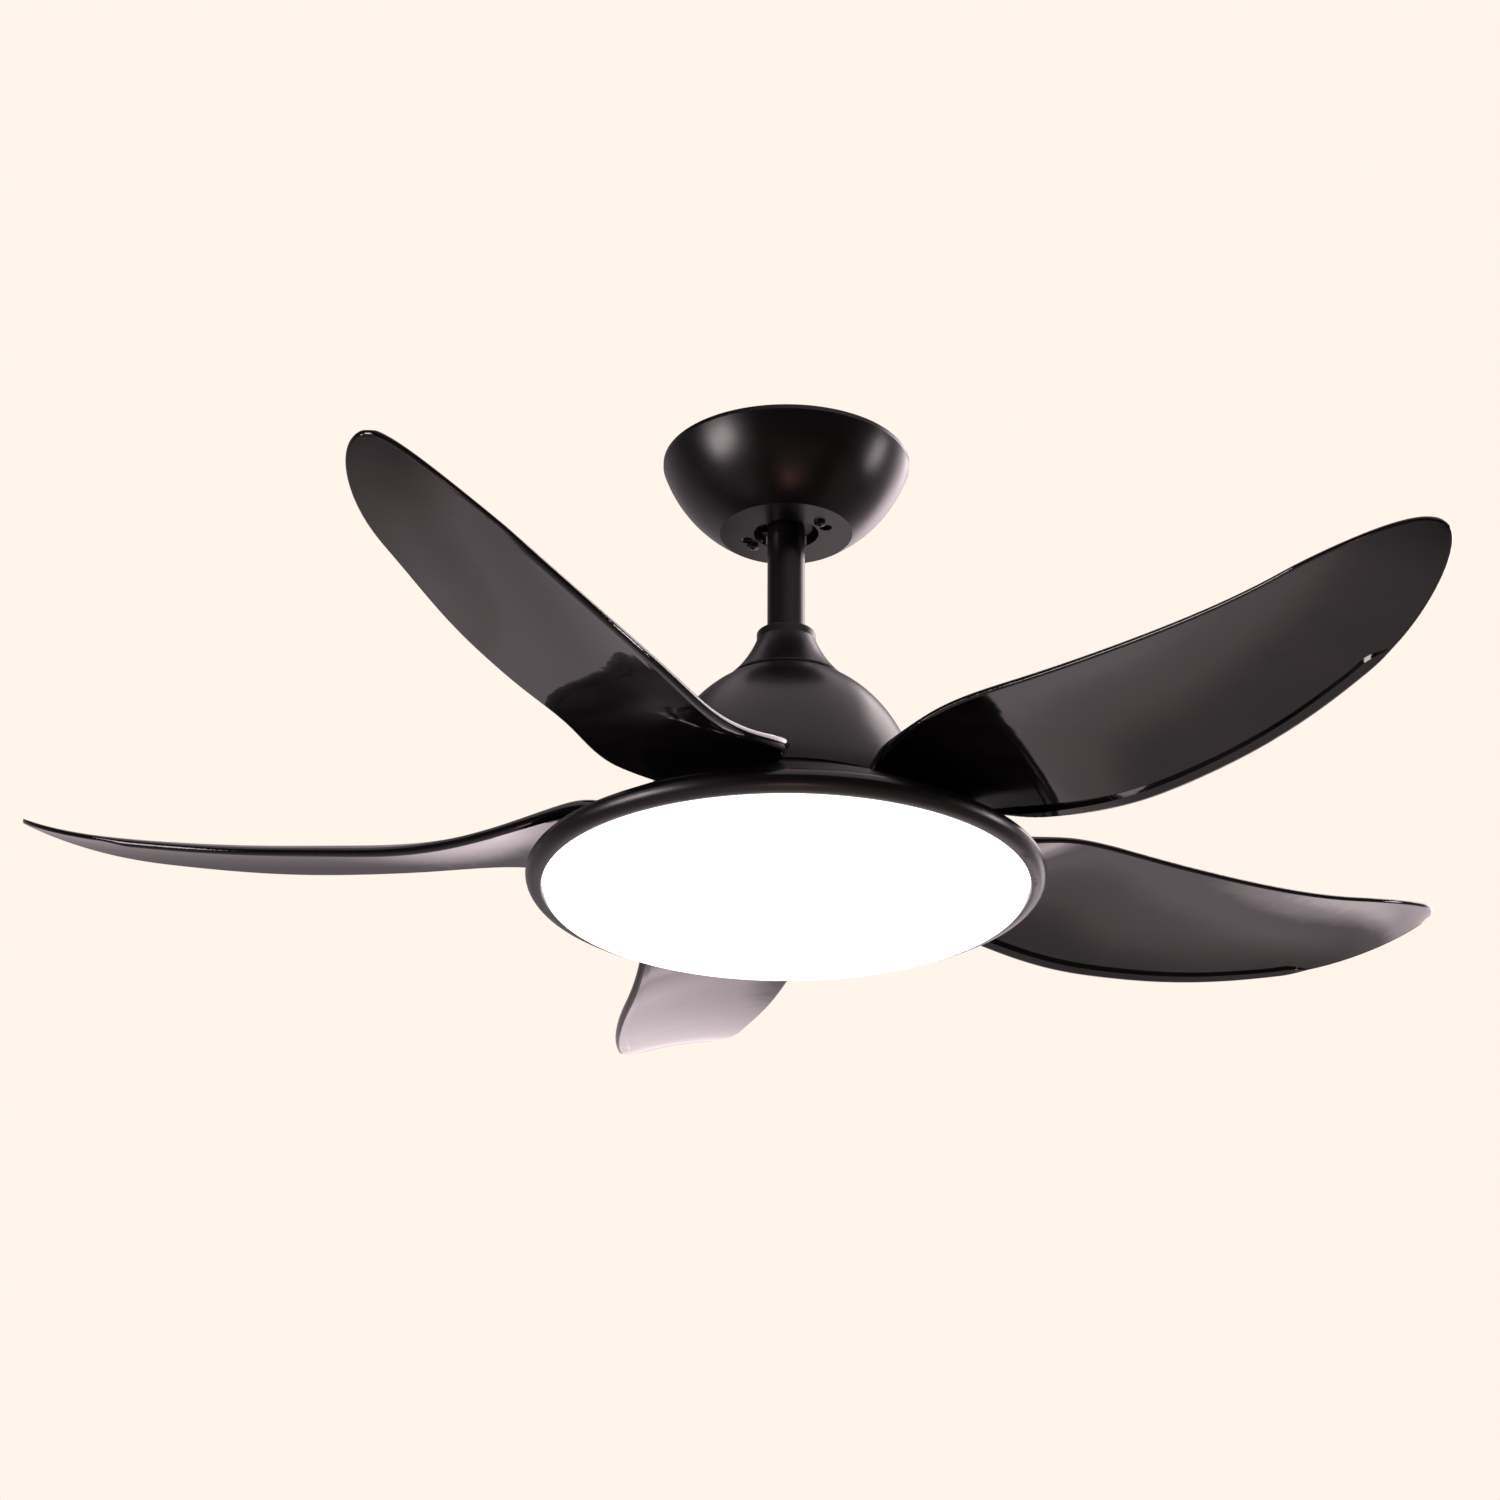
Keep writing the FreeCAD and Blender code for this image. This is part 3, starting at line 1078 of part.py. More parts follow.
def rotor_lower_cap():
    """Closes the rotor from below and carries the flange that the blades hang on."""
    iron_foot = STATOR_Z - IRON_HALF_HEIGHT
    web_top = iron_foot - CAP_STEP
    bearing_top = LOWER_BEARING_Z + BEARING_WIDTH / 2
    bearing_foot = LOWER_BEARING_Z - BEARING_WIDTH / 2
    body = ring(IRON_OUTER_RADIUS, IRON_INNER_RADIUS, web_top - CAP_WEB, iron_foot)
    body = body.fuse(ring(IRON_OUTER_RADIUS, BEARING_OUTER_RADIUS, web_top - CAP_WEB, web_top))
    body = body.fuse(ring(CAP_BOSS_RADIUS, BEARING_OUTER_RADIUS, bearing_foot, bearing_top))
    body = body.fuse(ring(CAP_BOSS_RADIUS, CAP_LIP_RADIUS, bearing_foot - CAP_LIP, bearing_foot))
    skirt_radius = IRON_OUTER_RADIUS + CAP_BOSS_WALL / 2
    body = body.fuse(ring(skirt_radius, CAP_SKIRT_RADIUS, FLANGE_FOOT_Z, web_top - CAP_WEB / 2))
    body = body.fuse(ring(BLADE_FLANGE_RADIUS, CAP_SKIRT_RADIUS, FLANGE_FOOT_Z, FLANGE_TOP_Z))
    for hole in blade_screw_holes(FLANGE_FOOT_Z, FLANGE_TOP_Z, BLADE_SCREW_RADIUS):
        body = body.cut(hole)
    for hole in cap_screw_holes(web_top - CAP_WEB, iron_foot):
        body = body.cut(hole)
    return body.removeSplitter()


def rotor_cap_screws():
    head_z = UPPER_BEARING_Z + CAP_WEB / 2
    foot_z = STATOR_Z - IRON_HALF_HEIGHT - CAP_STEP - CAP_WEB
    one = placed(screw(*CAP_SCREW_HEAD, CAP_SCREW_RADIUS, head_z - foot_z), CAP_SCREW_CIRCLE, 0, head_z, True)
    return Part.makeCompound(around(one, CAP_SCREW_COUNT))


def shaft_locknut():
    return hex_nut(NUT_ACROSS_FLATS, BEARING_BORE_RADIUS, LAMP_BRACKET_TOP_Z, LAMP_BRACKET_TOP_Z + NUT_HEIGHT)


# ================================================================ blades
def blade_screw_holes(low, high, radius):
    holes = []
    for along, across in BLADE_SCREW_SPOTS:
        spot = disc(radius, low, high, along, across)
        holes += around(spot, BLADE_COUNT, FIRST_BLADE_ANGLE)
    return holes


def station_curve(column):
    """A smooth curve of one column of the stations against the share of the blade's length."""
    curve = Part.BSplineCurve()
    shares = [row[0] for row in BLADE_STATIONS]
    curve.interpolate(
        Points=[Vector(row[0] * 100, row[column], 0) for row in BLADE_STATIONS], Parameters=shares
    )
    return curve


def tip_rounding(share):
    """1 along the blade, falling to 0 at the tip as a quarter of an ellipse does."""
    past = max(0.0, (share - TIP_ROUND_SHARE) / (1 - TIP_ROUND_SHARE))
    return math.sqrt(max(0.0, 1 - past * past))


def ramp(share, start, end):
    """0 before start, 1 after end, and a smooth rise between."""
    t = min(1.0, max(0.0, (share - start) / (end - start)))
    return t * t * (3 - 2 * t)


def blade_section(share, curves):
    """The blade's closed outline at one share of its length.

    Two cambered faces, a round leading edge, and a trailing edge turned down into a lip. The lip has a
    steep inner side, a flat foot and a rounded outside.
    """
    chord, middle, pitch, rise, camber, root_left = (c.value(share).y for c in curves)
    rounding = tip_rounding(share)
    chord *= rounding
    middle += TIP_SHIFT * (1 - rounding)
    root_left = min(1.0, max(0.0, root_left))
    toward_tip = min(1.0, share / TIP_ROUND_SHARE) ** 2
    lead = LEADING_EDGE_THICKNESS + (TIP_EDGE_THICKNESS - LEADING_EDGE_THICKNESS) * toward_tip
    trail = SKIN + (TIP_EDGE_THICKNESS - SKIN) * toward_tip
    lead = min(lead + (ROOT_THICKNESS - lead) * root_left, 0.3 * chord)
    trail = min(trail + (ROOT_THICKNESS - trail) * root_left, 0.3 * chord)
    lip = ramp(share, LIP_STARTS, LIP_FULL) * (1 - ramp(share, LIP_FADES, LIP_ENDS))
    full_depth = LIP_DEPTH + (LIP_DEPTH_AT_END - LIP_DEPTH) * ramp(share, LIP_FULL, LIP_FADES)
    lip_depth = SMALLEST_LIP + (full_depth - SMALLEST_LIP) * lip
    lip_width = min(SMALLEST_LIP_WIDTH + (LIP_WIDTH - SMALLEST_LIP_WIDTH) * lip, 0.2 * chord)
    wall_width = min(LIP_WALL_WIDTH, 0.25 * lip_width)
    edge_round = min(TRAILING_ROUND * (trail + lip_depth), 0.5 * lip_width)
    angle = math.radians(pitch)
    x = ROOT_RADIUS + share * (SWEEP_RADIUS - ROOT_RADIUS)
    bow = camber * rounding

    def point(across, up):
        """across runs from the leading edge, 0, to the trailing edge, chord; up is square to the chord."""
        along = across - chord / 2
        height = up + bow * (1 - (2 * along / chord) ** 2)
        return Vector(
            x,
            middle + along * math.cos(angle) + height * math.sin(angle),
            ROOT_Z + rise - along * math.sin(angle) + height * math.cos(angle),
        )

    def face(end, side):
        """A smooth face from the leading edge to end, on the upper (1) or lower (-1) side."""
        steps = 6
        points = []
        for i in range(steps + 1):
            across = lead / 2 + (end - lead / 2) * i / steps
            thickness = lead + (trail - lead) * across / chord
            points.append(point(across, side * thickness / 2))
        curve = Part.BSplineCurve()
        curve.interpolate(points)
        return curve.toShape(), points[0], points[-1]

    lower, lower_lead, lip_inside = face(chord - lip_width, -1)
    upper, upper_lead, upper_trail = face(chord - 0.4 * trail, 1)
    foot_height = -trail / 2 - lip_depth
    foot_inside = point(chord - lip_width + wall_width, foot_height)
    foot_outside = point(chord - edge_round, foot_height)
    lip_inner = line(lip_inside, foot_inside)
    lip_foot = line(foot_inside, foot_outside)
    trail_edge = arc(foot_outside, point(chord, -lip_depth / 2), upper_trail)
    lead_edge = arc(upper_lead, point(0, 0), lower_lead)
    upper.reverse()
    return Part.Wire([lower, lip_inner, lip_foot, trail_edge, upper, lead_edge])


def section_shares():
    """Closer together at the root, where the lip ends and round the tip, where the outline turns fastest."""
    along = [0.0, 0.015, 0.03, 0.05, 0.075, 0.105, 0.145, 0.2, 0.27, 0.36, 0.46, 0.56, 0.66, 0.73, 0.77]
    turns = 15
    last = 0.998
    tip = []
    for i in range(turns + 1):
        past = math.sin(math.asin(last) * i / turns)
        tip.append(TIP_ROUND_SHARE + (1 - TIP_ROUND_SHARE) * past)
    return along + tip


def blade_body():
    curves = [station_curve(column) for column in range(1, 7)]
    sections = [blade_section(share, curves) for share in section_shares()]
    return Part.makeLoft(sections, True, False)


def blade_tongue():
    """The flat tab that reaches in under the rotor's flange."""
    half = TONGUE_WIDTH / 2
    tab = block(TONGUE_INNER_RADIUS, ROOT_RADIUS + TONGUE_IN_BLADE, -half, half, TONGUE_FOOT_Z, TONGUE_TOP_Z)
    upright = [e for e in tab.Edges if abs(e.tangentAt(e.FirstParameter).z) > 0.99]
    inner = [e for e in upright if e.BoundBox.Center.x < ROOT_RADIUS]
    return tab.makeFillet(TONGUE_CORNER, inner)


def blade():
    """One blade, its length along +X."""
    body = blade_body().fuse(blade_tongue())
    for along, across in BLADE_SCREW_SPOTS:
        body = body.cut(disc(BLADE_SCREW_RADIUS, TONGUE_FOOT_Z, TONGUE_TOP_Z, along, across))
    return body


def blade_pads():
    half = TONGUE_WIDTH / 2 - PAD_INSET
    start = TONGUE_INNER_RADIUS + PAD_INSET
    pad = block(start, BLADE_FLANGE_RADIUS, -half, half, TONGUE_TOP_Z, FLANGE_FOOT_Z)
    pad = pad.common(disc(BLADE_FLANGE_RADIUS, TONGUE_TOP_Z, FLANGE_FOOT_Z))
    for along, across in BLADE_SCREW_SPOTS:
        pad = pad.cut(disc(BLADE_SCREW_RADIUS, TONGUE_TOP_Z, FLANGE_FOOT_Z, along, across))
    return Part.makeCompound(around(pad, BLADE_COUNT, FIRST_BLADE_ANGLE))


def blade_screws():
    length = TONGUE_THICKNESS + PAD_THICKNESS + BLADE_FLANGE_THICKNESS
    one = screw(*BLADE_SCREW_HEAD, BLADE_SCREW_RADIUS, length)
    all_screws = []
    for along, across in BLADE_SCREW_SPOTS:
        all_screws += around(placed(one, along, across, TONGUE_FOOT_Z), BLADE_COUNT, FIRST_BLADE_ANGLE)
    return Part.makeCompound(all_screws)


# ================================================================ lamp
def lamp_bracket_screw_places():
    return [at_angle(LAMP_BRACKET_SCREW_CIRCLE, 30 + 120 * i) for i in range(3)]


def lamp_bracket():
    body = ring(LAMP_BRACKET_RADIUS, BEARING_BORE_RADIUS, PAN_TOP_Z, LAMP_BRACKET_TOP_Z)
    for place in lamp_bracket_screw_places():
        body = body.cut(disc(M4_RADIUS, PAN_TOP_Z, LAMP_BRACKET_TOP_Z, place.x, place.y))
    return body


def lamp_bracket_screws():
    one = screw(M4_HEAD_RADIUS, M4_HEAD_HEIGHT, M4_RADIUS, PAN_WALL + LAMP_BRACKET_THICKNESS)
    return Part.makeCompound([placed(one, p.x, p.y, PAN_INSIDE_Z) for p in lamp_bracket_screw_places()])


def lamp_pan():
    """A shallow pressed pan: a flat top, a sloping side and a short upright skirt."""
    slope_foot_z = PAN_TOP_Z - PAN_SLOPE_DEPTH
    lean = math.atan2(PAN_SLOPE_DEPTH, PAN_SLOPE_RUN)
    corner_shift = PAN_WALL * math.tan(lean / 2)
    skirt_shift = PAN_WALL * math.tan((math.pi / 2 - lean) / 2)
    body = turned_polygon(
        [
            (BEARING_BORE_RADIUS, PAN_TOP_Z),
            (PAN_TOP_RADIUS, PAN_TOP_Z),
            (PAN_SKIRT_RADIUS, slope_foot_z),
            (PAN_SKIRT_RADIUS, PAN_FOOT_Z),
            (PAN_SKIRT_RADIUS - PAN_WALL, PAN_FOOT_Z),
            (PAN_SKIRT_RADIUS - PAN_WALL, slope_foot_z - skirt_shift),
            (PAN_TOP_RADIUS - corner_shift, PAN_INSIDE_Z),
            (BEARING_BORE_RADIUS, PAN_INSIDE_Z),
        ]
    )
    rims = [
        e
        for e in body.Edges
        if e.Curve.TypeId == "Part::GeomCircle" and abs(e.Curve.Radius - PAN_TOP_RADIUS) < 1e-6
    ]
    body = body.makeFillet(PAN_TOP_ROUND, rims)
    for place in lamp_bracket_screw_places():
        body = body.cut(disc(M4_RADIUS, PAN_INSIDE_Z, PAN_TOP_Z, place.x, place.y))
    for place in spacer_places():
        body = body.cut(disc(M3_RADIUS, PAN_INSIDE_Z, PAN_TOP_Z, place.x, place.y))
    return body


def lamp_nut():
    return hex_nut(NUT_ACROSS_FLATS, BEARING_BORE_RADIUS, SHAFT_FOOT_Z, PAN_INSIDE_Z)


def spacer_places():
    return [at_angle(SPACER_CIRCLE, 45 + 360.0 * i / SPACER_COUNT) for i in range(SPACER_COUNT)]


def board_spacers():
    tube = ring(SPACER_RADIUS, M3_RADIUS, BOARD_TOP_Z, PAN_INSIDE_Z)
    return Part.makeCompound([placed(tube, p.x, p.y, 0) for p in spacer_places()])


def board_screws():
    one = screw(*M3_HEAD, M3_RADIUS, PAN_TOP_Z - BOARD_FOOT_Z)
    return Part.makeCompound([placed(one, p.x, p.y, BOARD_FOOT_Z) for p in spacer_places()])


def led_board():
    body = ring(BOARD_RADIUS, BOARD_HOLE_RADIUS, BOARD_FOOT_Z, BOARD_TOP_Z)
    for place in spacer_places():
        body = body.cut(disc(M3_RADIUS, BOARD_FOOT_Z, BOARD_TOP_Z, place.x, place.y))
    return body


def led_chips():
    along, across, height = LED_SIZE
    chips = []
    half = along / 2
    innermost = BOARD_HOLE_RADIUS + LED_FROM_EDGE
    outermost = BOARD_RADIUS - LED_FROM_EDGE
    for i, count in enumerate(LED_COUNTS):
        radius = innermost + (outermost - innermost) * i / (len(LED_COUNTS) - 1)
        foot = BOARD_FOOT_Z - height
        chip = block(radius - half, radius + half, -across / 2, across / 2, foot, BOARD_FOOT_Z)
        chips += around(chip, count)
    return Part.makeCompound(chips)


def led_driver():
    length, width, height = DRIVER_SIZE
    y = DRIVER_OFFSET
    upright_round, foot_round = DRIVER_CORNERS
    low = PAN_INSIDE_Z - height
    body = rounded_block(
        -length / 2, length / 2, y - width / 2, y + width / 2, low, PAN_INSIDE_Z, upright_round
    )
    foot = [e for e in body.Edges if e.BoundBox.ZMax < low + height / 2]
    return body.makeFillet(foot_round, foot)


def lamp_ring():
    """The round-backed trim ring, pressed on the pan's skirt.

    Its lip carries the diffuser's flange from below.
    """
    inner = PAN_SKIRT_RADIUS
    lip = LAMP_RING_LIP_RADIUS
    bevel = LAMP_RING_LIP_BEVEL
    top = on_axis(inner + LAMP_RING_TOP_FACE, RING_TOP_Z)
    widest = on_axis(LAMP_RING_RADIUS, RING_TOP_Z - LAMP_RING_WIDEST)
    foot = on_axis(lip + LAMP_RING_FOOT_FACE, RING_FOOT_Z)
    upper_bulge, lower_bulge = LAMP_RING_BULGES
    return turned(
        [
            line(on_axis(inner, RING_TOP_Z), top),
            arc(top, bulge_middle(widest, top, upper_bulge), widest),
            arc(widest, bulge_middle(foot, widest, lower_bulge), foot),
            line(foot, on_axis(lip + bevel, RING_FOOT_Z)),
            line(on_axis(lip + bevel, RING_FOOT_Z), on_axis(lip, RING_FOOT_Z + bevel)),
            line(on_axis(lip, RING_FOOT_Z + bevel), on_axis(lip, FLANGE_SEAT_Z)),
            line(on_axis(lip, FLANGE_SEAT_Z), on_axis(inner, FLANGE_SEAT_Z)),
            line(on_axis(inner, FLANGE_SEAT_Z), on_axis(inner, RING_TOP_Z)),
        ]
    )


def dome_arc(edge_radius, edge_z, sag):
    """An arc from the axis out to (edge_radius, edge_z), its middle sag lower and its centre on the axis."""
    radius = (edge_radius**2 + sag**2) / (2 * sag)
    centre_z = edge_z - sag + radius
    half_angle = math.asin(edge_radius / radius) / 2
    middle = on_axis(radius * math.sin(half_angle), centre_z - radius * math.cos(half_angle))
    return arc(on_axis(0, edge_z - sag), middle, on_axis(edge_radius, edge_z))


def diffuser():
    """An opal dish with a slightly bowed face, a rounded edge and a flange."""
    edge_z = RING_FOOT_Z - DIFFUSER_BELOW_RING
    corner = DIFFUSER_CORNER
    slant = math.sqrt(0.5)
    flat = DIFFUSER_RADIUS - corner
    inner = DIFFUSER_RADIUS - DIFFUSER_WALL
    inner_flat = inner - 1.0
    return turned(
        [
            dome_arc(flat, edge_z, DIFFUSER_SAG),
            arc(
                on_axis(flat, edge_z),
                on_axis(flat + corner * slant, edge_z + corner * (1 - slant)),
                on_axis(DIFFUSER_RADIUS, edge_z + corner),
            ),
            line(on_axis(DIFFUSER_RADIUS, edge_z + corner), on_axis(DIFFUSER_RADIUS, FLANGE_SEAT_Z)),
            line(on_axis(DIFFUSER_RADIUS, FLANGE_SEAT_Z), on_axis(DIFFUSER_FLANGE_RADIUS, FLANGE_SEAT_Z)),
            line(on_axis(DIFFUSER_FLANGE_RADIUS, FLANGE_SEAT_Z), on_axis(DIFFUSER_FLANGE_RADIUS, PAN_FOOT_Z)),
            line(on_axis(DIFFUSER_FLANGE_RADIUS, PAN_FOOT_Z), on_axis(inner, PAN_FOOT_Z)),
            line(on_axis(inner, PAN_FOOT_Z), on_axis(inner, edge_z + corner)),
            line(on_axis(inner, edge_z + corner), on_axis(inner_flat, edge_z + DIFFUSER_WALL)),
            dome_arc(inner_flat, edge_z + DIFFUSER_WALL, DIFFUSER_SAG),
            line(on_axis(0, edge_z + DIFFUSER_WALL - DIFFUSER_SAG), on_axis(0, edge_z - DIFFUSER_SAG)),
        ]
    )


# ================================================================ build
def build():
    os.makedirs("parts", exist_ok=True)
    simple = {
        "ceiling_bracket": ceiling_bracket,
        "canopy": canopy,
        "canopy_screws": canopy_screws,
        "earth_screw": earth_screw,
        "terminal_block": terminal_block,
        "terminal_screws": terminal_screws,
        "receiver_case": receiver_case,
        "receiver_lid": receiver_lid,
        "receiver_board": receiver_board,
        "hanger_pin": hanger_pin,
        "hanger_ball": hanger_ball,
        "downrod": downrod,
        "lead_grommet": lead_grommet,
        "motor_lead": motor_lead,
        "canopy_plug": canopy_plug,
        "lamp_plug": lamp_plug,
        "motor_yoke": motor_yoke,
        "yoke_set_screw": yoke_set_screw,
        "rod_pin": rod_pin,
        "spring_clip": spring_clip,
        "coupling_cover": coupling_cover,
        "motor_bell": motor_bell,
        "bell_screws": bell_screws,
        "motor_shaft": motor_shaft,
        "stator_core": stator_core,
        "stator_coils": stator_coils,
        "rotor_back_iron": rotor_back_iron,
        "rotor_magnets": rotor_magnets,
        "rotor_upper_cap": rotor_upper_cap,
        "rotor_lower_cap": rotor_lower_cap,
        "rotor_cap_screws": rotor_cap_screws,
        "shaft_locknut": shaft_locknut,
        "blade_pads": blade_pads,
        "blade_screws": blade_screws,
        "lamp_bracket": lamp_bracket,
        "lamp_bracket_screws": lamp_bracket_screws,
        "lamp_pan": lamp_pan,
        "lamp_nut": lamp_nut,
        "board_spacers": board_spacers,
        "board_screws": board_screws,
        "led_board": led_board,
        "led_chips": led_chips,
        "led_driver": led_driver,
        "lamp_ring": lamp_ring,
        "diffuser": diffuser,
    }
    for name, make in simple.items():
        save(name, make())
    for level, z in (("upper", UPPER_BEARING_Z), ("lower", LOWER_BEARING_Z)):
        save(f"{level}_bearing_inner_ring", inner_ring(z))
        save(f"{level}_bearing_outer_ring", outer_ring(z))
        save(f"{level}_bearing_balls", bearing_balls(z))
        save(f"{level}_bearing_cage", bearing_cage(z))
    one_blade = blade()
    for i in range(BLADE_COUNT):
        save(f"blade_{i + 1}", rotated(one_blade, FIRST_BLADE_ANGLE + 360.0 * i / BLADE_COUNT))


build()
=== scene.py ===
# %% [markdown]
# # A ceiling fan with a flat round lamp
#
# A real fan of this kind is pressed steel, die-cast metal and injection-moulded plastic, painted or
# moulded in black. Its shape comes from the CAD part, which stays as it is. What is made here are the
# finishes, the light, the floor and the camera.
#
# Black glossy things show almost nothing of their own colour: the eye sees what they reflect. So the
# light around the object is as much a part of this scene as the materials are.

import math

import bpy
from mathutils import Matrix, Vector

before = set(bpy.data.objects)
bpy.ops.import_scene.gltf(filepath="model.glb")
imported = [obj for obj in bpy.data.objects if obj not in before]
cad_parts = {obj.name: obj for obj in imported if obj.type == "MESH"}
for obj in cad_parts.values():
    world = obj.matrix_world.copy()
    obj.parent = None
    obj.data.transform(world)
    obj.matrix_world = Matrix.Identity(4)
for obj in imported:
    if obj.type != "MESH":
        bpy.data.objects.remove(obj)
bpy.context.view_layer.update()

# %% [markdown]
# ## Two small helpers
#
# Colours are given as sRGB hex codes, but a renderer calculates with linear light. One
# function turns the one into the other. A second one adds a node to a material with its settings and
# links, so that each material reads as a short list of what its surface is made of.

# %% Helpers for colours and nodes
def linear(code):
    """A hex colour as linear red, green and blue, and an alpha of 1."""
    channels = [int(code[i : i + 2], 16) / 255 for i in (1, 3, 5)]
    curved = [c / 12.92 if c <= 0.04045 else ((c + 0.055) / 1.055) ** 2.4 for c in channels]
    return (*curved, 1.0)


def add(tree, kind, settings=None, links=None):
    """Adds a node. Settings are inputs or properties by name or number, and links go into inputs."""
    node = tree.nodes.new(kind)
    for key, value in (settings or {}).items():
        if isinstance(key, str) and key not in node.inputs:
            setattr(node, key, value)
        else:
            node.inputs[key].default_value = value
    for key, source in (links or {}).items():
        tree.links.new(source, node.inputs[key])
    return node


print("mid grey #808080 in linear light:", [round(c, 3) for c in linear("#808080")])

# %% [markdown]
# ## How a finish starts
#
# Every finish here is one Principled shader plus patterns. `finish` makes the shader and sets what is
# the same all over, straight on the shader's own sockets. It also hands out the object coordinates,
# which are real metres on the piece. UV maps could place the patterns instead, but these pieces have none.

# %% Start a finish
def finish(name, colour, metallic=0.0, roughness=0.5, **sockets):
    """A new material with its node tree, its shader and the piece's own coordinates in metres."""
    material = bpy.data.materials.new(name)
    material.use_nodes = True
    tree = material.node_tree
    shader = tree.nodes["Principled BSDF"]
    shader.inputs["Base Color"].default_value = linear(colour)
    shader.inputs["Metallic"].default_value = metallic
    shader.inputs["Roughness"].default_value = roughness
    for socket, value in sockets.items():
        shader.inputs[socket.replace("_", " ")].default_value = value
    place = add(tree, "ShaderNodeTexCoord").outputs["Object"]
    return material, tree, shader, place


finishes = {}  # by the name of the material slot that each is for
print("a finish is a Principled shader and the piece's own coordinates")

# %% [markdown]
# ## Soft patterns
#
# `cloudy` gives a soft pattern between two values, which is how roughness differs from place to place on
# anything that was handled, sprayed or moulded. Its size is given in millimetres, so a grain of 1.5 mm
# stays 1.5 mm on every part. Stretched along one axis it becomes streaks.

# %% Cloudy patterns
MM = 0.001


def cloudy(tree, place, size_mm, low, high, detail=3.0, stretch=(1, 1, 1)):
    """A soft random pattern whose patches are size_mm across, as a number from low to high."""
    stretched = add(tree, "ShaderNodeMapping", {"Scale": stretch}, {"Vector": place})
    noise = add(
        tree,
        "ShaderNodeTexNoise",
        {"Scale": 1 / (size_mm * MM), "Detail": detail, "Roughness": 0.55},
        {"Vector": stretched.outputs["Vector"]},
    )
    spread = add(
        tree,
        "ShaderNodeMapRange",
        {"From Min": 0.3, "From Max": 0.7, "To Min": low, "To Max": high},
        {"Value": noise.outputs["Fac"]},
    )
    return spread.outputs["Result"]


print("a grain of 1.5 mm repeats", round(1 / (1.5 * MM)), "times a metre")

# %% [markdown]
# ## What a pattern can do
#
# A pattern can change roughness, height or colour. Roughness takes a link of its own. `relief` turns a
# pattern into tiny hills and dents by bending the normals, and `tinted` lets it move the colour. Both
# could be real geometry or paint, but at these sizes the eye can't tell.

# %% Relief and tint
def relief(tree, shader, height, depth_mm, strength):
    """Bends the surface's normals as a pattern of that depth would."""
    bump = add(
        tree,
        "ShaderNodeBump",
        {"Strength": strength, "Distance": depth_mm * MM},
        {"Height": height},
    )
    tree.links.new(bump.outputs["Normal"], shader.inputs["Normal"])


def tinted(tree, shader, amount, dark, light):
    """Lets a pattern move the base colour between two hex colours."""
    mix = add(
        tree,
        "ShaderNodeMix",
        {"data_type": "RGBA", 6: linear(dark), 7: linear(light)},
        {0: amount},
    )
    tree.links.new(mix.outputs[2], shader.inputs["Base Color"])


print("a pattern can drive roughness, relief or tint")

# %% [markdown]
# ## Powder-coated steel
#
# The canopy, the motor's bell, the lamp's pan and its ring are pressed or spun steel with a baked
# powder coat. Powder melts into a skin that is smooth but never quite flat: a fine orange peel of about
# 2 mm and a few thousandths of a millimetre. To the eye it is a satin black with soft, wide highlights
# whose edges waver a little. The peel could be modelled as real bumps, but they are far too many and too
# low: bending the normals gives the same highlights and costs very little.

# %% Powder-coated steel
material, tree, shader, place = finish("powder_coated_steel", "#0c0a0a", roughness=0.3, IOR=1.5)
tree.links.new(cloudy(tree, place, 38, 0.27, 0.34), shader.inputs["Roughness"])
relief(tree, shader, cloudy(tree, place, 2.2, 0, 1, detail=1.0), 0.012, 0.5)
tinted(tree, shader, cloudy(tree, place, 60, 0, 1), "#0a0808", "#0e0c0c")
finishes["black_metal"] = material
print("powder coat:", len(tree.nodes), "nodes")

# %% [markdown]
# ## Painted tube
#
# The downrod is a drawn steel tube in the same black. Drawing pulls it through a die, so what is
# uneven on it runs along it. The canopy's finish would do from afar; here its patterns are stretched
# along the tube, which keeps each highlight one long straight line.

# %% Painted tube
material, tree, shader, place = finish("painted_steel_tube", "#0d0b0b", roughness=0.3, IOR=1.5)
tree.links.new(cloudy(tree, place, 14, 0.27, 0.35, stretch=(1, 1, 0.15)), shader.inputs["Roughness"])
relief(tree, shader, cloudy(tree, place, 1.4, 0, 1, detail=1.0, stretch=(1, 1, 0.3)), 0.008, 0.5)
finishes["black_rod"] = material
print("tube:", len(tree.nodes), "nodes")

# %% [markdown]
# ## Glossy injection-moulded ABS
#
# The blades are moulded in polished steel tools, so the plastic copies a mirror: deep black with crisp
# reflections. ABS has an IOR of about 1.52. Such a surface collects fine dust and hairline wiping marks,
# which the eye reads as slight changes in how sharp the reflection is, and it shrinks by hundredths of a
# millimetre as it cools, which bends the reflections a little. A clear coat could give the shine too, but
# moulded plastic has no second layer, so the base itself is glossy.

# %% Glossy moulded ABS
material, tree, shader, place = finish("glossy_moulded_abs", "#0a0808", roughness=0.05, IOR=1.52)
wiped = cloudy(tree, place, 45, 0.03, 0.085, detail=4.0, stretch=(0.35, 1, 1))
tree.links.new(wiped, shader.inputs["Roughness"])
tinted(tree, shader, cloudy(tree, place, 28, 0, 1, detail=5.0, stretch=(0.5, 1, 1)), "#090707", "#181516")
relief(tree, shader, cloudy(tree, place, 30, 0, 1, detail=1.0), 0.05, 0.25)
finishes["gloss_black"] = material
print("glossy ABS:", len(tree.nodes), "nodes")

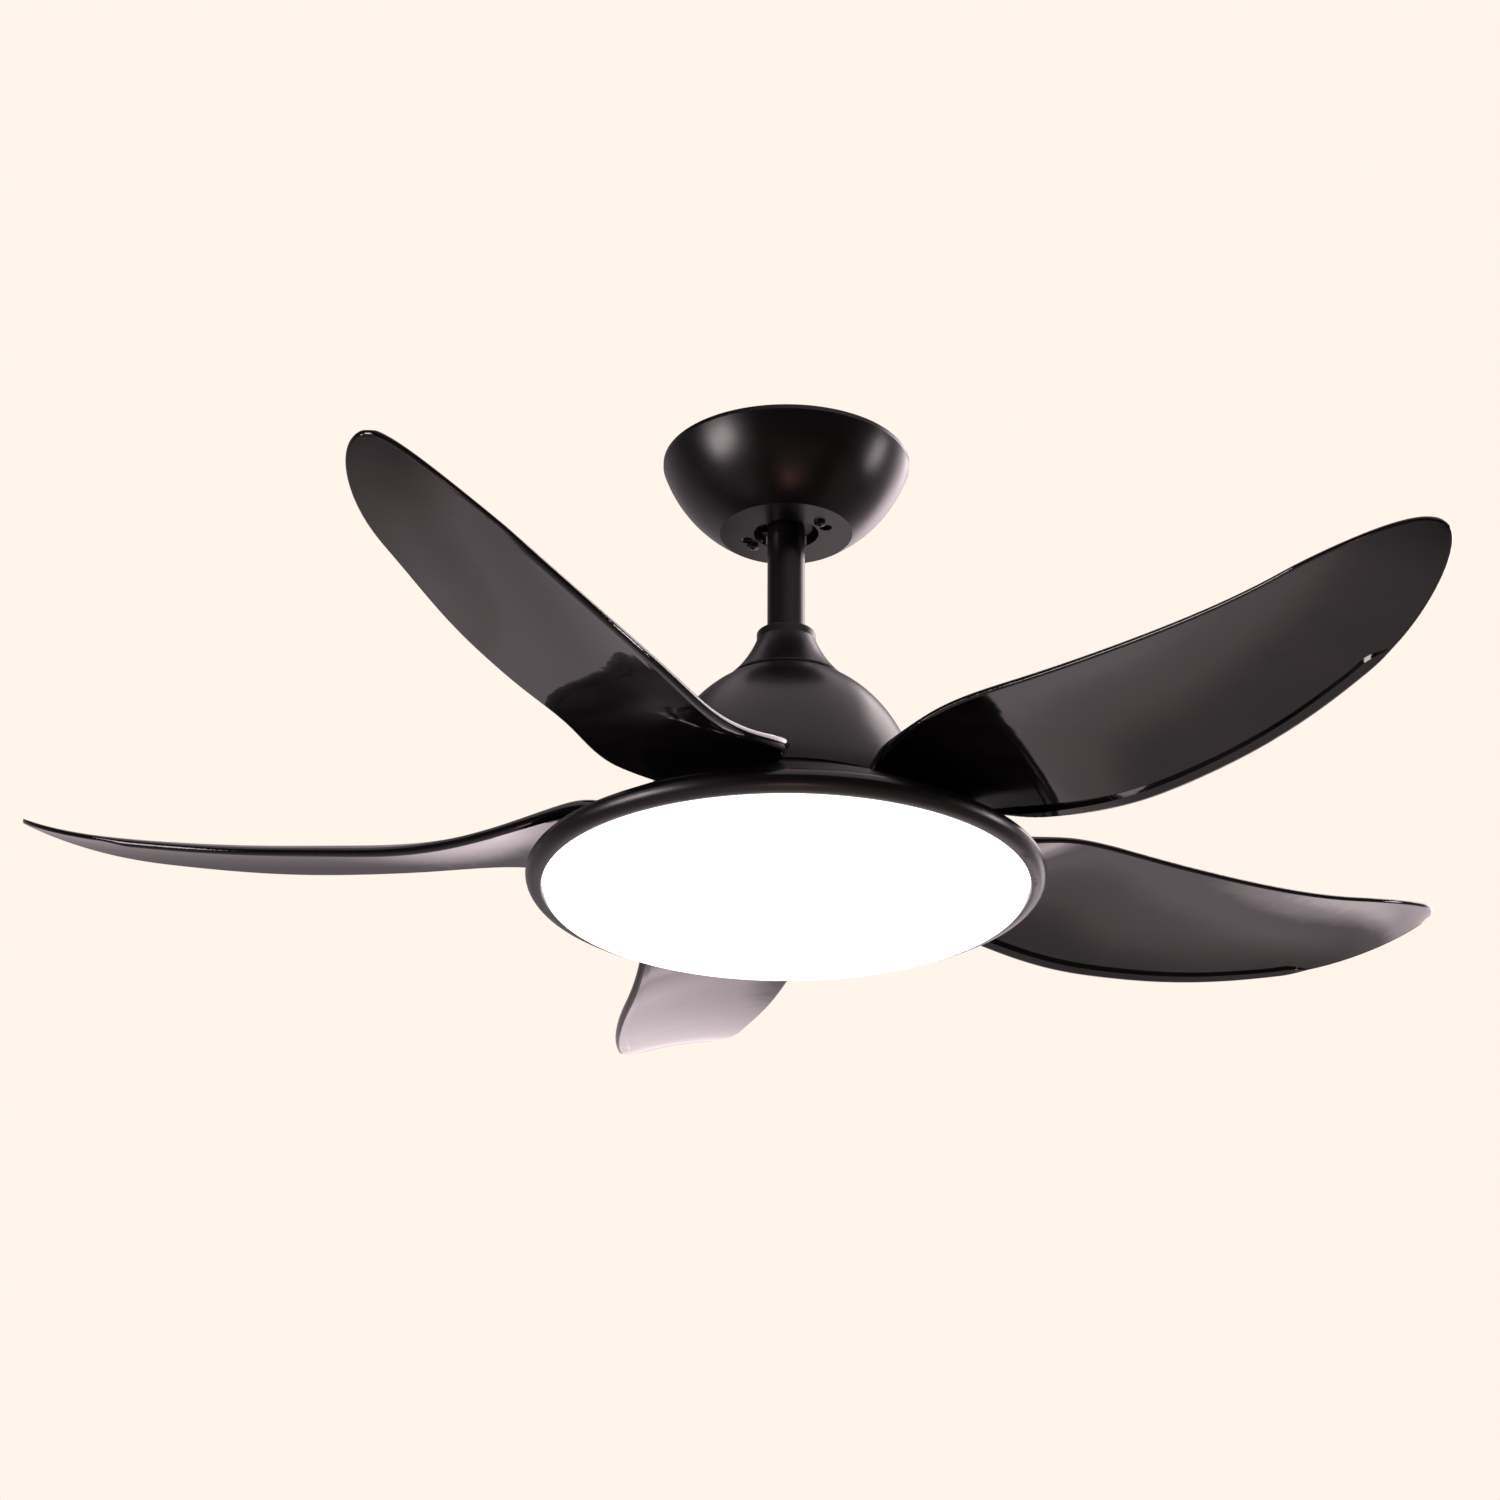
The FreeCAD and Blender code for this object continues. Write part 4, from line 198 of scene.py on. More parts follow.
# %% [markdown]
# ## Satin moulded ABS
#
# The flared cover at the rod's foot is moulded too, but in a tool with a fine spark-eroded grain, so it
# matches the powder coat beside it. The real grain is too fine to show, so it is drawn at 0.9 mm. A rough
# value alone would make the cover an even satin; the relief breaks up the edge of each highlight.

# %% Satin moulded ABS
material, tree, shader, place = finish("satin_moulded_abs", "#0b0909", roughness=0.34, IOR=1.52)
tree.links.new(cloudy(tree, place, 20, 0.3, 0.38), shader.inputs["Roughness"])
relief(tree, shader, cloudy(tree, place, 0.9, 0, 1, detail=2.0), 0.01, 0.4)
finishes["black_plastic"] = material
print("satin ABS:", len(tree.nodes), "nodes")

# %% [markdown]
# ## Opal acrylic, lit
#
# The diffuser is milky acrylic (PMMA, IOR 1.49) with the lamp on behind it. Lit from inside it is an
# even white that falls off a little towards the rim, where fewer chips stand behind it. Lights behind a
# milky dish would be the real way, but they render slowly and leave grain. Emission on the face looks the
# same from outside, so that is the way here, its amount painted by the distance from the middle.

# %% Opal acrylic
GLOW_EVEN_TO = 0.12  # metres from the middle
GLOW_FADED_AT = 0.166
GLOW_MIDDLE = 2.2
GLOW_RIM = 1.5

material, tree, shader, place = finish(
    "opal_acrylic", "#f7f5f1", roughness=0.34, IOR=1.49, Subsurface_Weight=0.2, Subsurface_Scale=0.004
)
flat = add(tree, "ShaderNodeVectorMath", {"operation": "MULTIPLY", 1: (1, 1, 0)}, {0: place})
middle_out = add(tree, "ShaderNodeVectorMath", {"operation": "LENGTH"}, {0: flat.outputs["Vector"]})
glow = add(
    tree,
    "ShaderNodeMapRange",
    {
        "interpolation_type": "SMOOTHSTEP",
        "From Min": GLOW_EVEN_TO,
        "From Max": GLOW_FADED_AT,
        "To Min": GLOW_MIDDLE,
        "To Max": GLOW_RIM,
    },
    {"Value": middle_out.outputs["Value"]},
)
shader.inputs["Emission Color"].default_value = linear("#fffdf9")
tree.links.new(glow.outputs["Result"], shader.inputs["Emission Strength"])
relief(tree, shader, cloudy(tree, place, 5, 0, 1), 0.02, 0.2)
finishes["opal_acrylic"] = material
print("opal acrylic glows from", GLOW_RIM, "at the rim to", GLOW_MIDDLE, "in the middle")

# %% [markdown]
# ## Dip-coated bracket
#
# The ceiling bracket is pressed from sheet and dipped in black enamel, which is cheap and hides it in the
# canopy's hole. A dip coat is slightly wavy, with a dull shine. It could be a coat layer over steel, but
# the enamel hides the steel fully, so one rough black layer with a slow wave is enough.

# %% Dip-coated sheet
material, tree, shader, place = finish("black_dip_coat", "#100e0e", roughness=0.42, IOR=1.5)
tinted(tree, shader, cloudy(tree, place, 22, 0, 1), "#0d0b0b", "#141212")
tree.links.new(cloudy(tree, place, 12, 0.36, 0.5), shader.inputs["Roughness"])
relief(tree, shader, cloudy(tree, place, 3.5, 0, 1, detail=1.0), 0.03, 0.5)
finishes["bracket_steel"] = material
print("dip coat:", len(tree.nodes), "nodes")

# %% [markdown]
# ## Zinc-plated steel
#
# Pins, nuts, the clip, the shaft and the lamp's bracket are electroplated: bright, with the marks of
# the lathe or press still in them. Rings cut into the mesh would show those marks too. A relief that
# changes quickly along the axis and slowly round it gives them at any distance.

# %% Zinc-plated turned and pressed steel
material, tree, shader, place = finish("zinc_plated_steel", "#c3c7cc", metallic=1.0, roughness=0.28)
tree.links.new(cloudy(tree, place, 6, 0.22, 0.36), shader.inputs["Roughness"])
relief(tree, shader, cloudy(tree, place, 3.0, 0, 1, stretch=(1, 1, 12)), 0.01, 0.35)
finishes["zinc_steel"] = material
print("zinc plate:", len(tree.nodes), "nodes")

# %% [markdown]
# ## Zinc-plated screws
#
# Small screws are plated in a barrel, where they knock together, so their plating is mottled and has
# no direction. One finish serves them all: the same zinc as above, with finer patches and no lathe
# marks.

# %% Zinc-plated screws
material, tree, shader, place = finish("zinc_plated_screw", "#c9ccd0", metallic=1.0, roughness=0.25)
tree.links.new(cloudy(tree, place, 2.5, 0.18, 0.38), shader.inputs["Roughness"])
relief(tree, shader, cloudy(tree, place, 0.8, 0, 1), 0.01, 0.3)
finishes["steel_screws"] = material
print("zinc-plated screws:", len(tree.nodes), "nodes")

# %% [markdown]
# ## Blackened screws
#
# The screws that show are black-oxide steel: a thin dark skin, oiled, that wears to bare metal where a
# driver has been. They catch a small sharp glint. Wear could be painted on the recess alone, but it shows
# as a few points at this size, so random patches of paler metal are enough.

# %% Black-oxide screws
material, tree, shader, place = finish("black_oxide_steel", "#1b191a", metallic=0.85, roughness=0.3)
worn = cloudy(tree, place, 1.6, 0, 1, detail=4.0)
tinted(tree, shader, worn, "#161415", "#4a4645")
tree.links.new(cloudy(tree, place, 2.0, 0.22, 0.4), shader.inputs["Roughness"])
relief(tree, shader, cloudy(tree, place, 0.7, 0, 1), 0.01, 0.3)
finishes["black_screws"] = material
print("black oxide:", len(tree.nodes), "nodes")

# %% [markdown]
# ## Brass
#
# The earth screw is brass: yellow, soft and a little tarnished in patches. One plain colour would look
# like gold, so a pattern moves it between a fresh and a tarnished tone.

# %% Brass
material, tree, shader, place = finish("turned_brass", "#d8b56a", metallic=1.0, roughness=0.24)
tinted(tree, shader, cloudy(tree, place, 2.5, 0, 1), "#b98f45", "#e0c07a")
tree.links.new(cloudy(tree, place, 2.0, 0.18, 0.34), shader.inputs["Roughness"])
relief(tree, shader, cloudy(tree, place, 0.8, 0, 1), 0.01, 0.3)
finishes["brass_parts"] = material
print("brass:", len(tree.nodes), "nodes")

# %% [markdown]
# ## Black nylon
#
# The hanger ball is nylon filled with black, which is dull and slightly waxy (IOR 1.53). The filler stops
# all light, so it needs no scattering under its skin, only a rough and slightly grained surface.

# %% Black nylon
material, tree, shader, place = finish("black_nylon", "#191718", roughness=0.42, IOR=1.53)
tree.links.new(cloudy(tree, place, 9, 0.36, 0.5), shader.inputs["Roughness"])
relief(tree, shader, cloudy(tree, place, 0.8, 0, 1), 0.015, 0.4)
finishes["nylon"] = material
print("black nylon:", len(tree.nodes), "nodes")

# %% [markdown]
# ## Natural nylon
#
# The plugs and the board's spacers keep nylon's own ivory, and thin walls of it let a little light
# in. A paler colour alone would look like paint, so a little light is scattered under the skin, to 2
# mm deep.

# %% Natural nylon
material, tree, shader, place = finish(
    "natural_nylon", "#ebe5d6", roughness=0.45, IOR=1.53, Subsurface_Weight=0.15, Subsurface_Scale=0.002
)
tinted(tree, shader, cloudy(tree, place, 5, 0, 1), "#e3dccb", "#f0ebdf")
tree.links.new(cloudy(tree, place, 4, 0.38, 0.52), shader.inputs["Roughness"])
relief(tree, shader, cloudy(tree, place, 0.8, 0, 1), 0.012, 0.35)
finishes["white_plugs"] = material
print("natural nylon:", len(tree.nodes), "nodes")

# %% [markdown]
# ## Terminal block
#
# The terminal block is polyamide with a filler that keeps it from burning, so it is greyer than the
# plugs and lets no light in. It is their finish without the scattering.

# %% Polyamide terminal block
material, tree, shader, place = finish("moulded_polyamide", "#e4e0d4", roughness=0.4, IOR=1.53)
tinted(tree, shader, cloudy(tree, place, 8, 0, 1), "#dcd7c9", "#eae6dc")
tree.links.new(cloudy(tree, place, 5, 0.34, 0.48), shader.inputs["Roughness"])
relief(tree, shader, cloudy(tree, place, 0.7, 0, 1), 0.012, 0.35)
finishes["terminal_plastic"] = material
print("polyamide:", len(tree.nodes), "nodes")

# %% [markdown]
# ## Rubber
#
# The pads at the blades' roots and the rod's grommet are matt black rubber with a bloom of dust. A
# velvet-like sheen could draw the bloom. Here patches of a paler black do, because the pieces are
# small and hidden.

# %% Rubber
material, tree, shader, place = finish("black_rubber", "#161515", roughness=0.72, IOR=1.5)
tinted(tree, shader, cloudy(tree, place, 6, 0, 1), "#131212", "#232121")
tree.links.new(cloudy(tree, place, 5, 0.62, 0.82), shader.inputs["Roughness"])
relief(tree, shader, cloudy(tree, place, 0.6, 0, 1), 0.03, 0.5)
finishes["black_rubber"] = material
print("rubber:", len(tree.nodes), "nodes")

# %% [markdown]
# ## PVC lead
#
# The lead's jacket is soft PVC, pressed out as a tube round its wires (IOR 1.54). It is smooth along
# its length, so its relief is drawn out the same way.

# %% PVC lead
material, tree, shader, place = finish("pvc_lead_jacket", "#d9d6cf", roughness=0.4, IOR=1.54)
tinted(tree, shader, cloudy(tree, place, 12, 0, 1), "#cfcbc3", "#e2dfd8")
tree.links.new(cloudy(tree, place, 6, 0.34, 0.48), shader.inputs["Roughness"])
relief(tree, shader, cloudy(tree, place, 2.0, 0, 1, stretch=(1, 1, 0.2)), 0.02, 0.3)
finishes["lead_jacket"] = material
print("PVC:", len(tree.nodes), "nodes")

# %% [markdown]
# ## Receiver's case
#
# The receiver's case and lid are white ABS with a fine moulded grain. It is the same plastic as the flared
# cover in another colour, so it is made the same way: relief for the grain, and roughness in patches.

# %% Receiver case
material, tree, shader, place = finish("grained_white_abs", "#e8e6e1", roughness=0.5, IOR=1.52)
tinted(tree, shader, cloudy(tree, place, 25, 0, 1), "#e1dfd9", "#edebe7")
tree.links.new(cloudy(tree, place, 10, 0.44, 0.56), shader.inputs["Roughness"])
relief(tree, shader, cloudy(tree, place, 0.6, 0, 1), 0.02, 0.5)
finishes["receiver_plastic"] = material
print("receiver case:", len(tree.nodes), "nodes")

# %% [markdown]
# ## Driver's case
#
# The lamp driver's case is ABS too, a little yellower from the heat that it lives in. A second
# finish, not a shared one, keeps the two cases apart to the eye.

# %% Driver case
material, tree, shader, place = finish("driver_case_abs", "#dfddd6", roughness=0.46, IOR=1.52)
tinted(tree, shader, cloudy(tree, place, 30, 0, 1), "#d7d5cd", "#e6e4de")
tree.links.new(cloudy(tree, place, 12, 0.4, 0.54), shader.inputs["Roughness"])
relief(tree, shader, cloudy(tree, place, 0.7, 0, 1), 0.02, 0.5)
finishes["driver_case"] = material
print("driver case:", len(tree.nodes), "nodes")

# %% [markdown]
# ## Green board with its tracks
#
# The receiver's board is glass-epoxy under green solder mask, with tracks on a 2.54 mm grid. Tracks
# could be thin boxes on the board, but they stand only 0.035 mm proud: a brick pattern gives their
# colour, and the same pattern as relief gives their height. The bricks' rows are a quarter of the
# pattern's unit.

# %% Green board with its tracks
TRACK_PITCH_MM = 2.54
ROWS_IN_A_UNIT = 4
COPPER_MM = 0.035

material, tree, shader, place = finish("green_solder_mask", "#1e6a3c", roughness=0.28, IOR=1.5)
tracks = add(
    tree,
    "ShaderNodeTexBrick",
    {
        "Scale": 1 / (TRACK_PITCH_MM * MM) / ROWS_IN_A_UNIT,
        "Mortar Size": 0.03,
        "Color1": (0, 0, 0, 1),
        "Color2": (0.25, 0.25, 0.25, 1),
        "Mortar": (1, 1, 1, 1),
    },
    {"Vector": place},
)
track = add(tree, "ShaderNodeSeparateColor", None, {"Color": tracks.outputs["Color"]}).outputs["Red"]
tinted(tree, shader, track, "#185832", "#3f8f52")
relief(tree, shader, track, COPPER_MM, 0.6)
finishes["green_board"] = material
print("green board:", len(tree.nodes), "nodes")

# %% [markdown]
# ## White lamp board
#
# The lamp's board is aluminium under a white mask, which sends stray light back out. No tracks show
# through the thick mask, so it is a plain white with slight clouds.

# %% White lamp board
material, tree, shader, place = finish("white_solder_mask", "#f2f1ec", roughness=0.35, IOR=1.5)
tinted(tree, shader, cloudy(tree, place, 18, 0, 1), "#eceae3", "#f6f5f1")
tree.links.new(cloudy(tree, place, 9, 0.3, 0.42), shader.inputs["Roughness"])
relief(tree, shader, cloudy(tree, place, 1.5, 0, 1), 0.01, 0.3)
finishes["white_board"] = material
print("white board:", len(tree.nodes), "nodes")

# %% [markdown]
# ## Phosphor of the chips
#
# Each chip is a drop of clear resin full of yellow phosphor, which turns the blue light under it
# white. Sixty real lamps would slow every render, so the chips glow by emission. They are sealed
# behind the diffuser, which glows by itself.

# %% Phosphor of the chips
CHIP_GLOW = 6.0

material, tree, shader, place = finish("led_phosphor", "#f1d36a", roughness=0.35, IOR=1.5)
tinted(tree, shader, cloudy(tree, place, 1.2, 0, 1), "#eac64e", "#f7e08c")
shader.inputs["Emission Color"].default_value = linear("#fff3d6")
shader.inputs["Emission Strength"].default_value = CHIP_GLOW
relief(tree, shader, cloudy(tree, place, 0.4, 0, 1), 0.02, 0.4)
finishes["led_phosphor"] = material
print("phosphor:", len(tree.nodes), "nodes")

# %% [markdown]
# ## Die-cast aluminium
#
# The rotor's caps are die-cast aluminium: pale grey with a dull skin from the die. A metal's colour is in
# its reflections, so a plain grey metal would look like a mirror. The high roughness, in patches, is what
# makes it a casting.

# %% Die-cast aluminium
material, tree, shader, place = finish("die_cast_aluminium", "#b0b2b5", metallic=1.0, roughness=0.44)
tinted(tree, shader, cloudy(tree, place, 16, 0, 1), "#a3a5a8", "#bbbdc0")
tree.links.new(cloudy(tree, place, 7, 0.38, 0.54), shader.inputs["Roughness"])
relief(tree, shader, cloudy(tree, place, 1.2, 0, 1), 0.03, 0.4)
finishes["cast_aluminium"] = material
print("die-cast aluminium:", len(tree.nodes), "nodes")

# %% [markdown]
# ## Cast iron
#
# The yoke is sand-cast iron, darker and grainier than the die castings, because it takes the sand's
# surface. A sculpted surface could show each grain; a relief of 0.9 mm, deeper than the die castings
# have, gives the same dull look.

# %% Cast iron yoke
material, tree, shader, place = finish("cast_iron", "#4c4a4b", metallic=1.0, roughness=0.52)
tinted(tree, shader, cloudy(tree, place, 7, 0, 1), "#3e3c3d", "#5a5758")
tree.links.new(cloudy(tree, place, 4, 0.44, 0.62), shader.inputs["Roughness"])
relief(tree, shader, cloudy(tree, place, 0.9, 0, 1), 0.06, 0.6)
finishes["cast_yoke"] = material
print("cast iron:", len(tree.nodes), "nodes")

# %% [markdown]
# ## Laminated steel
#
# The stator is a stack of 0.5 mm electrical steel sheets. A wave pattern along the axis draws the
# layers. They are drawn as broad bands, far coarser than the sheets, so that they show at all. A wave
# repeats every 2 pi / 20 units of its scale.

# %% Laminated stator steel
BAND_MM = 2 * math.pi  # about 6.3
WAVES_IN_A_UNIT = 20 / (2 * math.pi)

material, tree, shader, place = finish("laminated_steel", "#8d9094", metallic=1.0, roughness=0.42)
layers = add(
    tree,
    "ShaderNodeTexWave",
    {
        "wave_type": "BANDS",
        "bands_direction": "Z",
        "Scale": 1 / (BAND_MM * MM) / WAVES_IN_A_UNIT,
        "Distortion": 0.4,
    },
    {"Vector": place},
)
tinted(tree, shader, layers.outputs["Fac"], "#6c6f73", "#9da0a4")
tree.links.new(cloudy(tree, place, 6, 0.36, 0.5), shader.inputs["Roughness"])
relief(tree, shader, layers.outputs["Fac"], 0.08, 0.7)
finishes["stator_steel"] = material
print("laminations:", len(tree.nodes), "nodes")

# %% [markdown]
# ## Enamelled copper
#
# The coils are copper wire under a clear amber enamel. Here there are two real layers, so the shader
# gets a coat over the metal. Single wires would be thousands of curves; a 1 mm relief stands in for
# them.

# %% Enamelled copper
material, tree, shader, place = finish(
    "enamelled_copper", "#b5622e", metallic=1.0, roughness=0.26, Coat_Weight=0.6, Coat_Roughness=0.12
)
tinted(tree, shader, cloudy(tree, place, 3, 0, 1), "#9c4f22", "#c77540")
relief(tree, shader, cloudy(tree, place, 1.0, 0, 1), 0.03, 0.4)
finishes["copper_wire"] = material
print("copper:", len(tree.nodes), "nodes")

# %% [markdown]
# ## Turned steel
#
# The rotor's back iron is turned from tube, so fine rings run round it. They are made as on the zinc
# parts: a relief that is quick along the axis and slow round it.

# %% Turned rotor iron
material, tree, shader, place = finish("turned_steel", "#8f9296", metallic=1.0, roughness=0.36)
tree.links.new(cloudy(tree, place, 8, 0.3, 0.44, stretch=(1, 1, 4)), shader.inputs["Roughness"])
relief(tree, shader, cloudy(tree, place, 4, 0, 1, stretch=(1, 1, 16)), 0.01, 0.4)
finishes["rotor_iron"] = material
print("turned steel:", len(tree.nodes), "nodes")

# %% [markdown]
# ## Ferrite
#
# The magnets are sintered ferrite: a dark, dull ceramic with a coarse, pressed surface (IOR 1.8). It
# is not a metal to the eye, so it has none of the metallic shine.

# %% Ferrite
material, tree, shader, place = finish("sintered_ferrite", "#2c2b2d", roughness=0.6, IOR=1.8)
tinted(tree, shader, cloudy(tree, place, 4, 0, 1), "#252426", "#363437")
tree.links.new(cloudy(tree, place, 3, 0.5, 0.7), shader.inputs["Roughness"])
relief(tree, shader, cloudy(tree, place, 0.7, 0, 1), 0.03, 0.5)
finishes["magnet_ferrite"] = material
print("ferrite:", len(tree.nodes), "nodes")

# %% [markdown]
# ## Ground bearing steel
#
# Rings and balls are ground and lapped to a near mirror. Their roughness is the lowest of all the
# metals here, and a faint relief round the axis keeps the grinding marks.

# %% Bearing steel
material, tree, shader, place = finish("ground_bearing_steel", "#cdd0d4", metallic=1.0, roughness=0.12)
tree.links.new(cloudy(tree, place, 5, 0.08, 0.17), shader.inputs["Roughness"])
relief(tree, shader, cloudy(tree, place, 2, 0, 1, stretch=(1, 1, 10)), 0.003, 0.3)
finishes["bearing_steel"] = material
print("bearing steel:", len(tree.nodes), "nodes")

# %% [markdown]
# ## Pressed cage
#
# The cages are pressed from thin steel strip and left bare, so they are duller than the rings that
# they run between. A plain metal with small patches of roughness is enough at 8 mm high.

# %% Bearing cage
material, tree, shader, place = finish("pressed_steel_cage", "#b2b0ab", metallic=1.0, roughness=0.3)
tree.links.new(cloudy(tree, place, 3, 0.24, 0.38), shader.inputs["Roughness"])
relief(tree, shader, cloudy(tree, place, 0.9, 0, 1), 0.01, 0.3)
finishes["cage_steel"] = material
print("cage:", len(tree.nodes), "nodes")

# %% [markdown]
# ## Give each CAD piece its finish
#
# The part's record says which material slot each node belongs to. Each node gets the finish of its slot,
# and the script stops if a slot has none, so nothing is left with a plain colour.

# %% Assign the finishes
slot_of = {}
for name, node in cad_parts.items():
    slot = node.data.materials[0].name.split(".")[0]
    slot_of[name] = slot
    node.data.materials.clear()
    node.data.materials.append(finishes[slot])
print(len(slot_of), "nodes in", len(set(slot_of.values())), "finishes")

# %% [markdown]
# ## The room
#
# A product like this is shot in a pale room with large soft lights. What the camera sees behind the fan
# is an even cream. What the gloss sees is different: a pale wall behind, with a bright window, its
# shine on the floor and a sunlit curtain beside it, a wide soft glow overhead, and a dark room behind the
# camera, which keeps the black black. Each of these could be a lamp or a glowing sheet. A world shader is
# used instead, because every edge in it can be soft, and gloss shows a hard one as a crease. Its
# brightness is one function of direction, so that the floor can use it too.

# %% What the gloss sees
STUDIO_TINT = linear("#ffedf2")  # the pale walls reflect a little pink
WINDOW = Vector((0.29, 0.96, 0.035)).normalized()
WINDOW_SHINE = Vector((0.26, 0.9, -0.36)).normalized()
CURTAIN = Vector((0.58, 0.79, 0.2)).normalized()
OVERHEAD = Vector((0.14, -0.2, 1.0)).normalized()
print("window toward", [round(v, 2) for v in WINDOW], "curtain toward", [round(v, 2) for v in CURTAIN])

# %% [markdown]
# ## Soft steps and round patches
#
# Three helpers draw with light: `smooth` makes a soft step, `combine` puts two values together, and
# `bright_patch` makes a round patch that fades at its edge. A painted picture of a room would do too, but
# these can be moved and dimmed by changing a number.

# %% Soft steps and round patches
def smooth(tree, value, start, end, low, high):
    """A smooth change from low to high while value goes from start to end."""
    step = add(
        tree,
        "ShaderNodeMapRange",
        {
            "interpolation_type": "SMOOTHSTEP",
            "From Min": start,
            "From Max": end,
            "To Min": low,
            "To Max": high,
        },
        {"Value": value},
    )
    return step.outputs["Result"]


def combine(tree, operation, first, second):
    """Two values put together by an operation, such as ADD or MULTIPLY."""
    return add(tree, "ShaderNodeMath", {"operation": operation}, {0: first, 1: second}).outputs["Value"]


def bright_patch(tree, direction, middle, edge, full, brightness):
    """A round patch of light in the room. Edge and full are the angles in degrees where it fades."""
    toward = add(tree, "ShaderNodeVectorMath", {"operation": "DOT_PRODUCT", 1: middle}, {0: direction})
    cosines = [math.cos(math.radians(angle)) for angle in (edge, full)]
    return smooth(tree, toward.outputs["Value"], *cosines, 0.0, brightness)


print("helpers for light:", [helper.__name__ for helper in (smooth, combine, bright_patch)])

# %% [markdown]
# ## The room's brightness
#
# A wall grows brighter the straighter one looks at it, its foot is lit by the floor, and the ceiling
# above it is dark. Each of these is one soft step on a direction's depth (Y) or height (Z), and the
# window, its shine and the curtain are patches added to it. Steps like these are cheaper than a modelled
# room, and nothing in them can be seen as an object.

# %% The room's brightness
WALL = (0.1, 0.95, 0.05, 0.46)  # each step: from, to, brightness there and there
FOOT_OF_WALL = (-0.18, -0.42, 1.0, 1.55)
BELOW_CEILING = (0.85, 0.3, 0.1, 1.0)
PATCHES_ON_WALL = (  # each patch: middle, edge and full in degrees, brightness
    (WINDOW, 25, 18.5, 1.15),
    (WINDOW_SHINE, 10, 3, 0.8),
    (CURTAIN, 24, 5, 2.4),
)
GLOW_OVERHEAD = (OVERHEAD, 57, 42, 0.95)


def room_brightness(tree, direction):
    """How bright the room is in a direction: walls, window and curtain, and the glow overhead."""
    axes = add(tree, "ShaderNodeSeparateXYZ", None, {"Vector": direction})
    wall = smooth(tree, axes.outputs["Y"], *WALL)
    foot_of_wall = smooth(tree, axes.outputs["Z"], *FOOT_OF_WALL)
    lights = combine(tree, "MULTIPLY", wall, foot_of_wall)
    for patch in PATCHES_ON_WALL:
        lights = combine(tree, "ADD", lights, bright_patch(tree, direction, *patch))
    below_ceiling = smooth(tree, axes.outputs["Z"], *BELOW_CEILING)
    overhead = bright_patch(tree, direction, *GLOW_OVERHEAD)
    return combine(tree, "ADD", combine(tree, "MULTIPLY", lights, below_ceiling), overhead)


print(len(PATCHES_ON_WALL), "patches on the wall and one overhead")

# %% [markdown]
# ## The world
#
# The same shader has to give two answers: the room to the gloss, and plain cream to the camera. The
# Light Path node tells it whether a ray comes straight from the camera, and a Mix Shader picks.

# %% World
SEEN_CREAM = "#fff5eb"

world = bpy.data.worlds.new("studio")
bpy.context.scene.world = world
world.use_nodes = True
tree = world.node_tree
tree.nodes.clear()
direction = add(tree, "ShaderNodeTexCoord").outputs["Generated"]
strength = room_brightness(tree, direction)
room = add(tree, "ShaderNodeBackground", {"Color": STUDIO_TINT}, {"Strength": strength})
seen = add(tree, "ShaderNodeBackground", {"Color": linear(SEEN_CREAM), "Strength": 1.0})
ray = add(tree, "ShaderNodeLightPath")
either = add(
    tree,
    "ShaderNodeMixShader",
    None,
    {0: ray.outputs["Is Camera Ray"], 1: room.outputs[0], 2: seen.outputs[0]},
)
add(tree, "ShaderNodeOutputWorld", None, {"Surface": either.outputs[0]})
print("world:", len(tree.nodes), "nodes")

# %% [markdown]
# ## Soft boxes
#
# Each soft box is an area light. What matters for gloss is how bright its face is and how large, so the
# helper takes those, and works out the watts: brightness times pi times area. One stands front left and
# draws the broad highlight on the canopy. One stands high on the right, and a narrow strip beside the fan
# draws the thin highlights along right-hand edges.

# %% Soft boxes
def soft_box(name, place, target, width, height, brightness, colour="#fff0f3"):
    """A soft box whose face has that brightness, at place, turned to target."""
    lamp = bpy.data.lights.new(name, "AREA")
    lamp.shape = "RECTANGLE"
    lamp.size = width
    lamp.size_y = height
    lamp.energy = brightness * math.pi * width * height
    lamp.color = linear(colour)[:3]
    box = bpy.data.objects.new(name, lamp)
    bpy.context.scene.collection.objects.link(box)
    box.location = place
    box.rotation_euler = (Vector(target) - Vector(place)).to_track_quat("-Z", "Y").to_euler()
    box.visible_camera = False
    print(name, round(lamp.energy, 1), "W")
    return box


soft_box("soft_box_left", (-2.6, -1.3, -0.85), (0, 0, -0.05), 1.2, 1.0, 12.5)
soft_box("soft_box_right_high", (2.2, 1.7, 1.7), (0, 0, -0.15), 2.4, 2.0, 3.4)
soft_box("strip_right", (2.95, 0.3, -0.5), (0, 0, -0.05), 0.35, 0.9, 17.0)

# %% [markdown]
# ## A warm lamp that fades to its rim
#
# A small warm lamp near the floor in front leaves a faint reddish spot on the canopy. Its face is
# brightest in the middle and fades to nothing at the rim, as a lamp behind cloth does. With an even face
# the glossy blades would show it as a hard-edged square. A light has a node tree too: the Parametric
# output runs from 0 to 1 across its face, so the distance from (0.5, 0.5) is the distance from its middle.

# %% Warm lamp
FACE_MIDDLE = (0.5, 0.5, 0.0)
MIDDLE_GLOW = 3.4  # as a multiple of an even face's

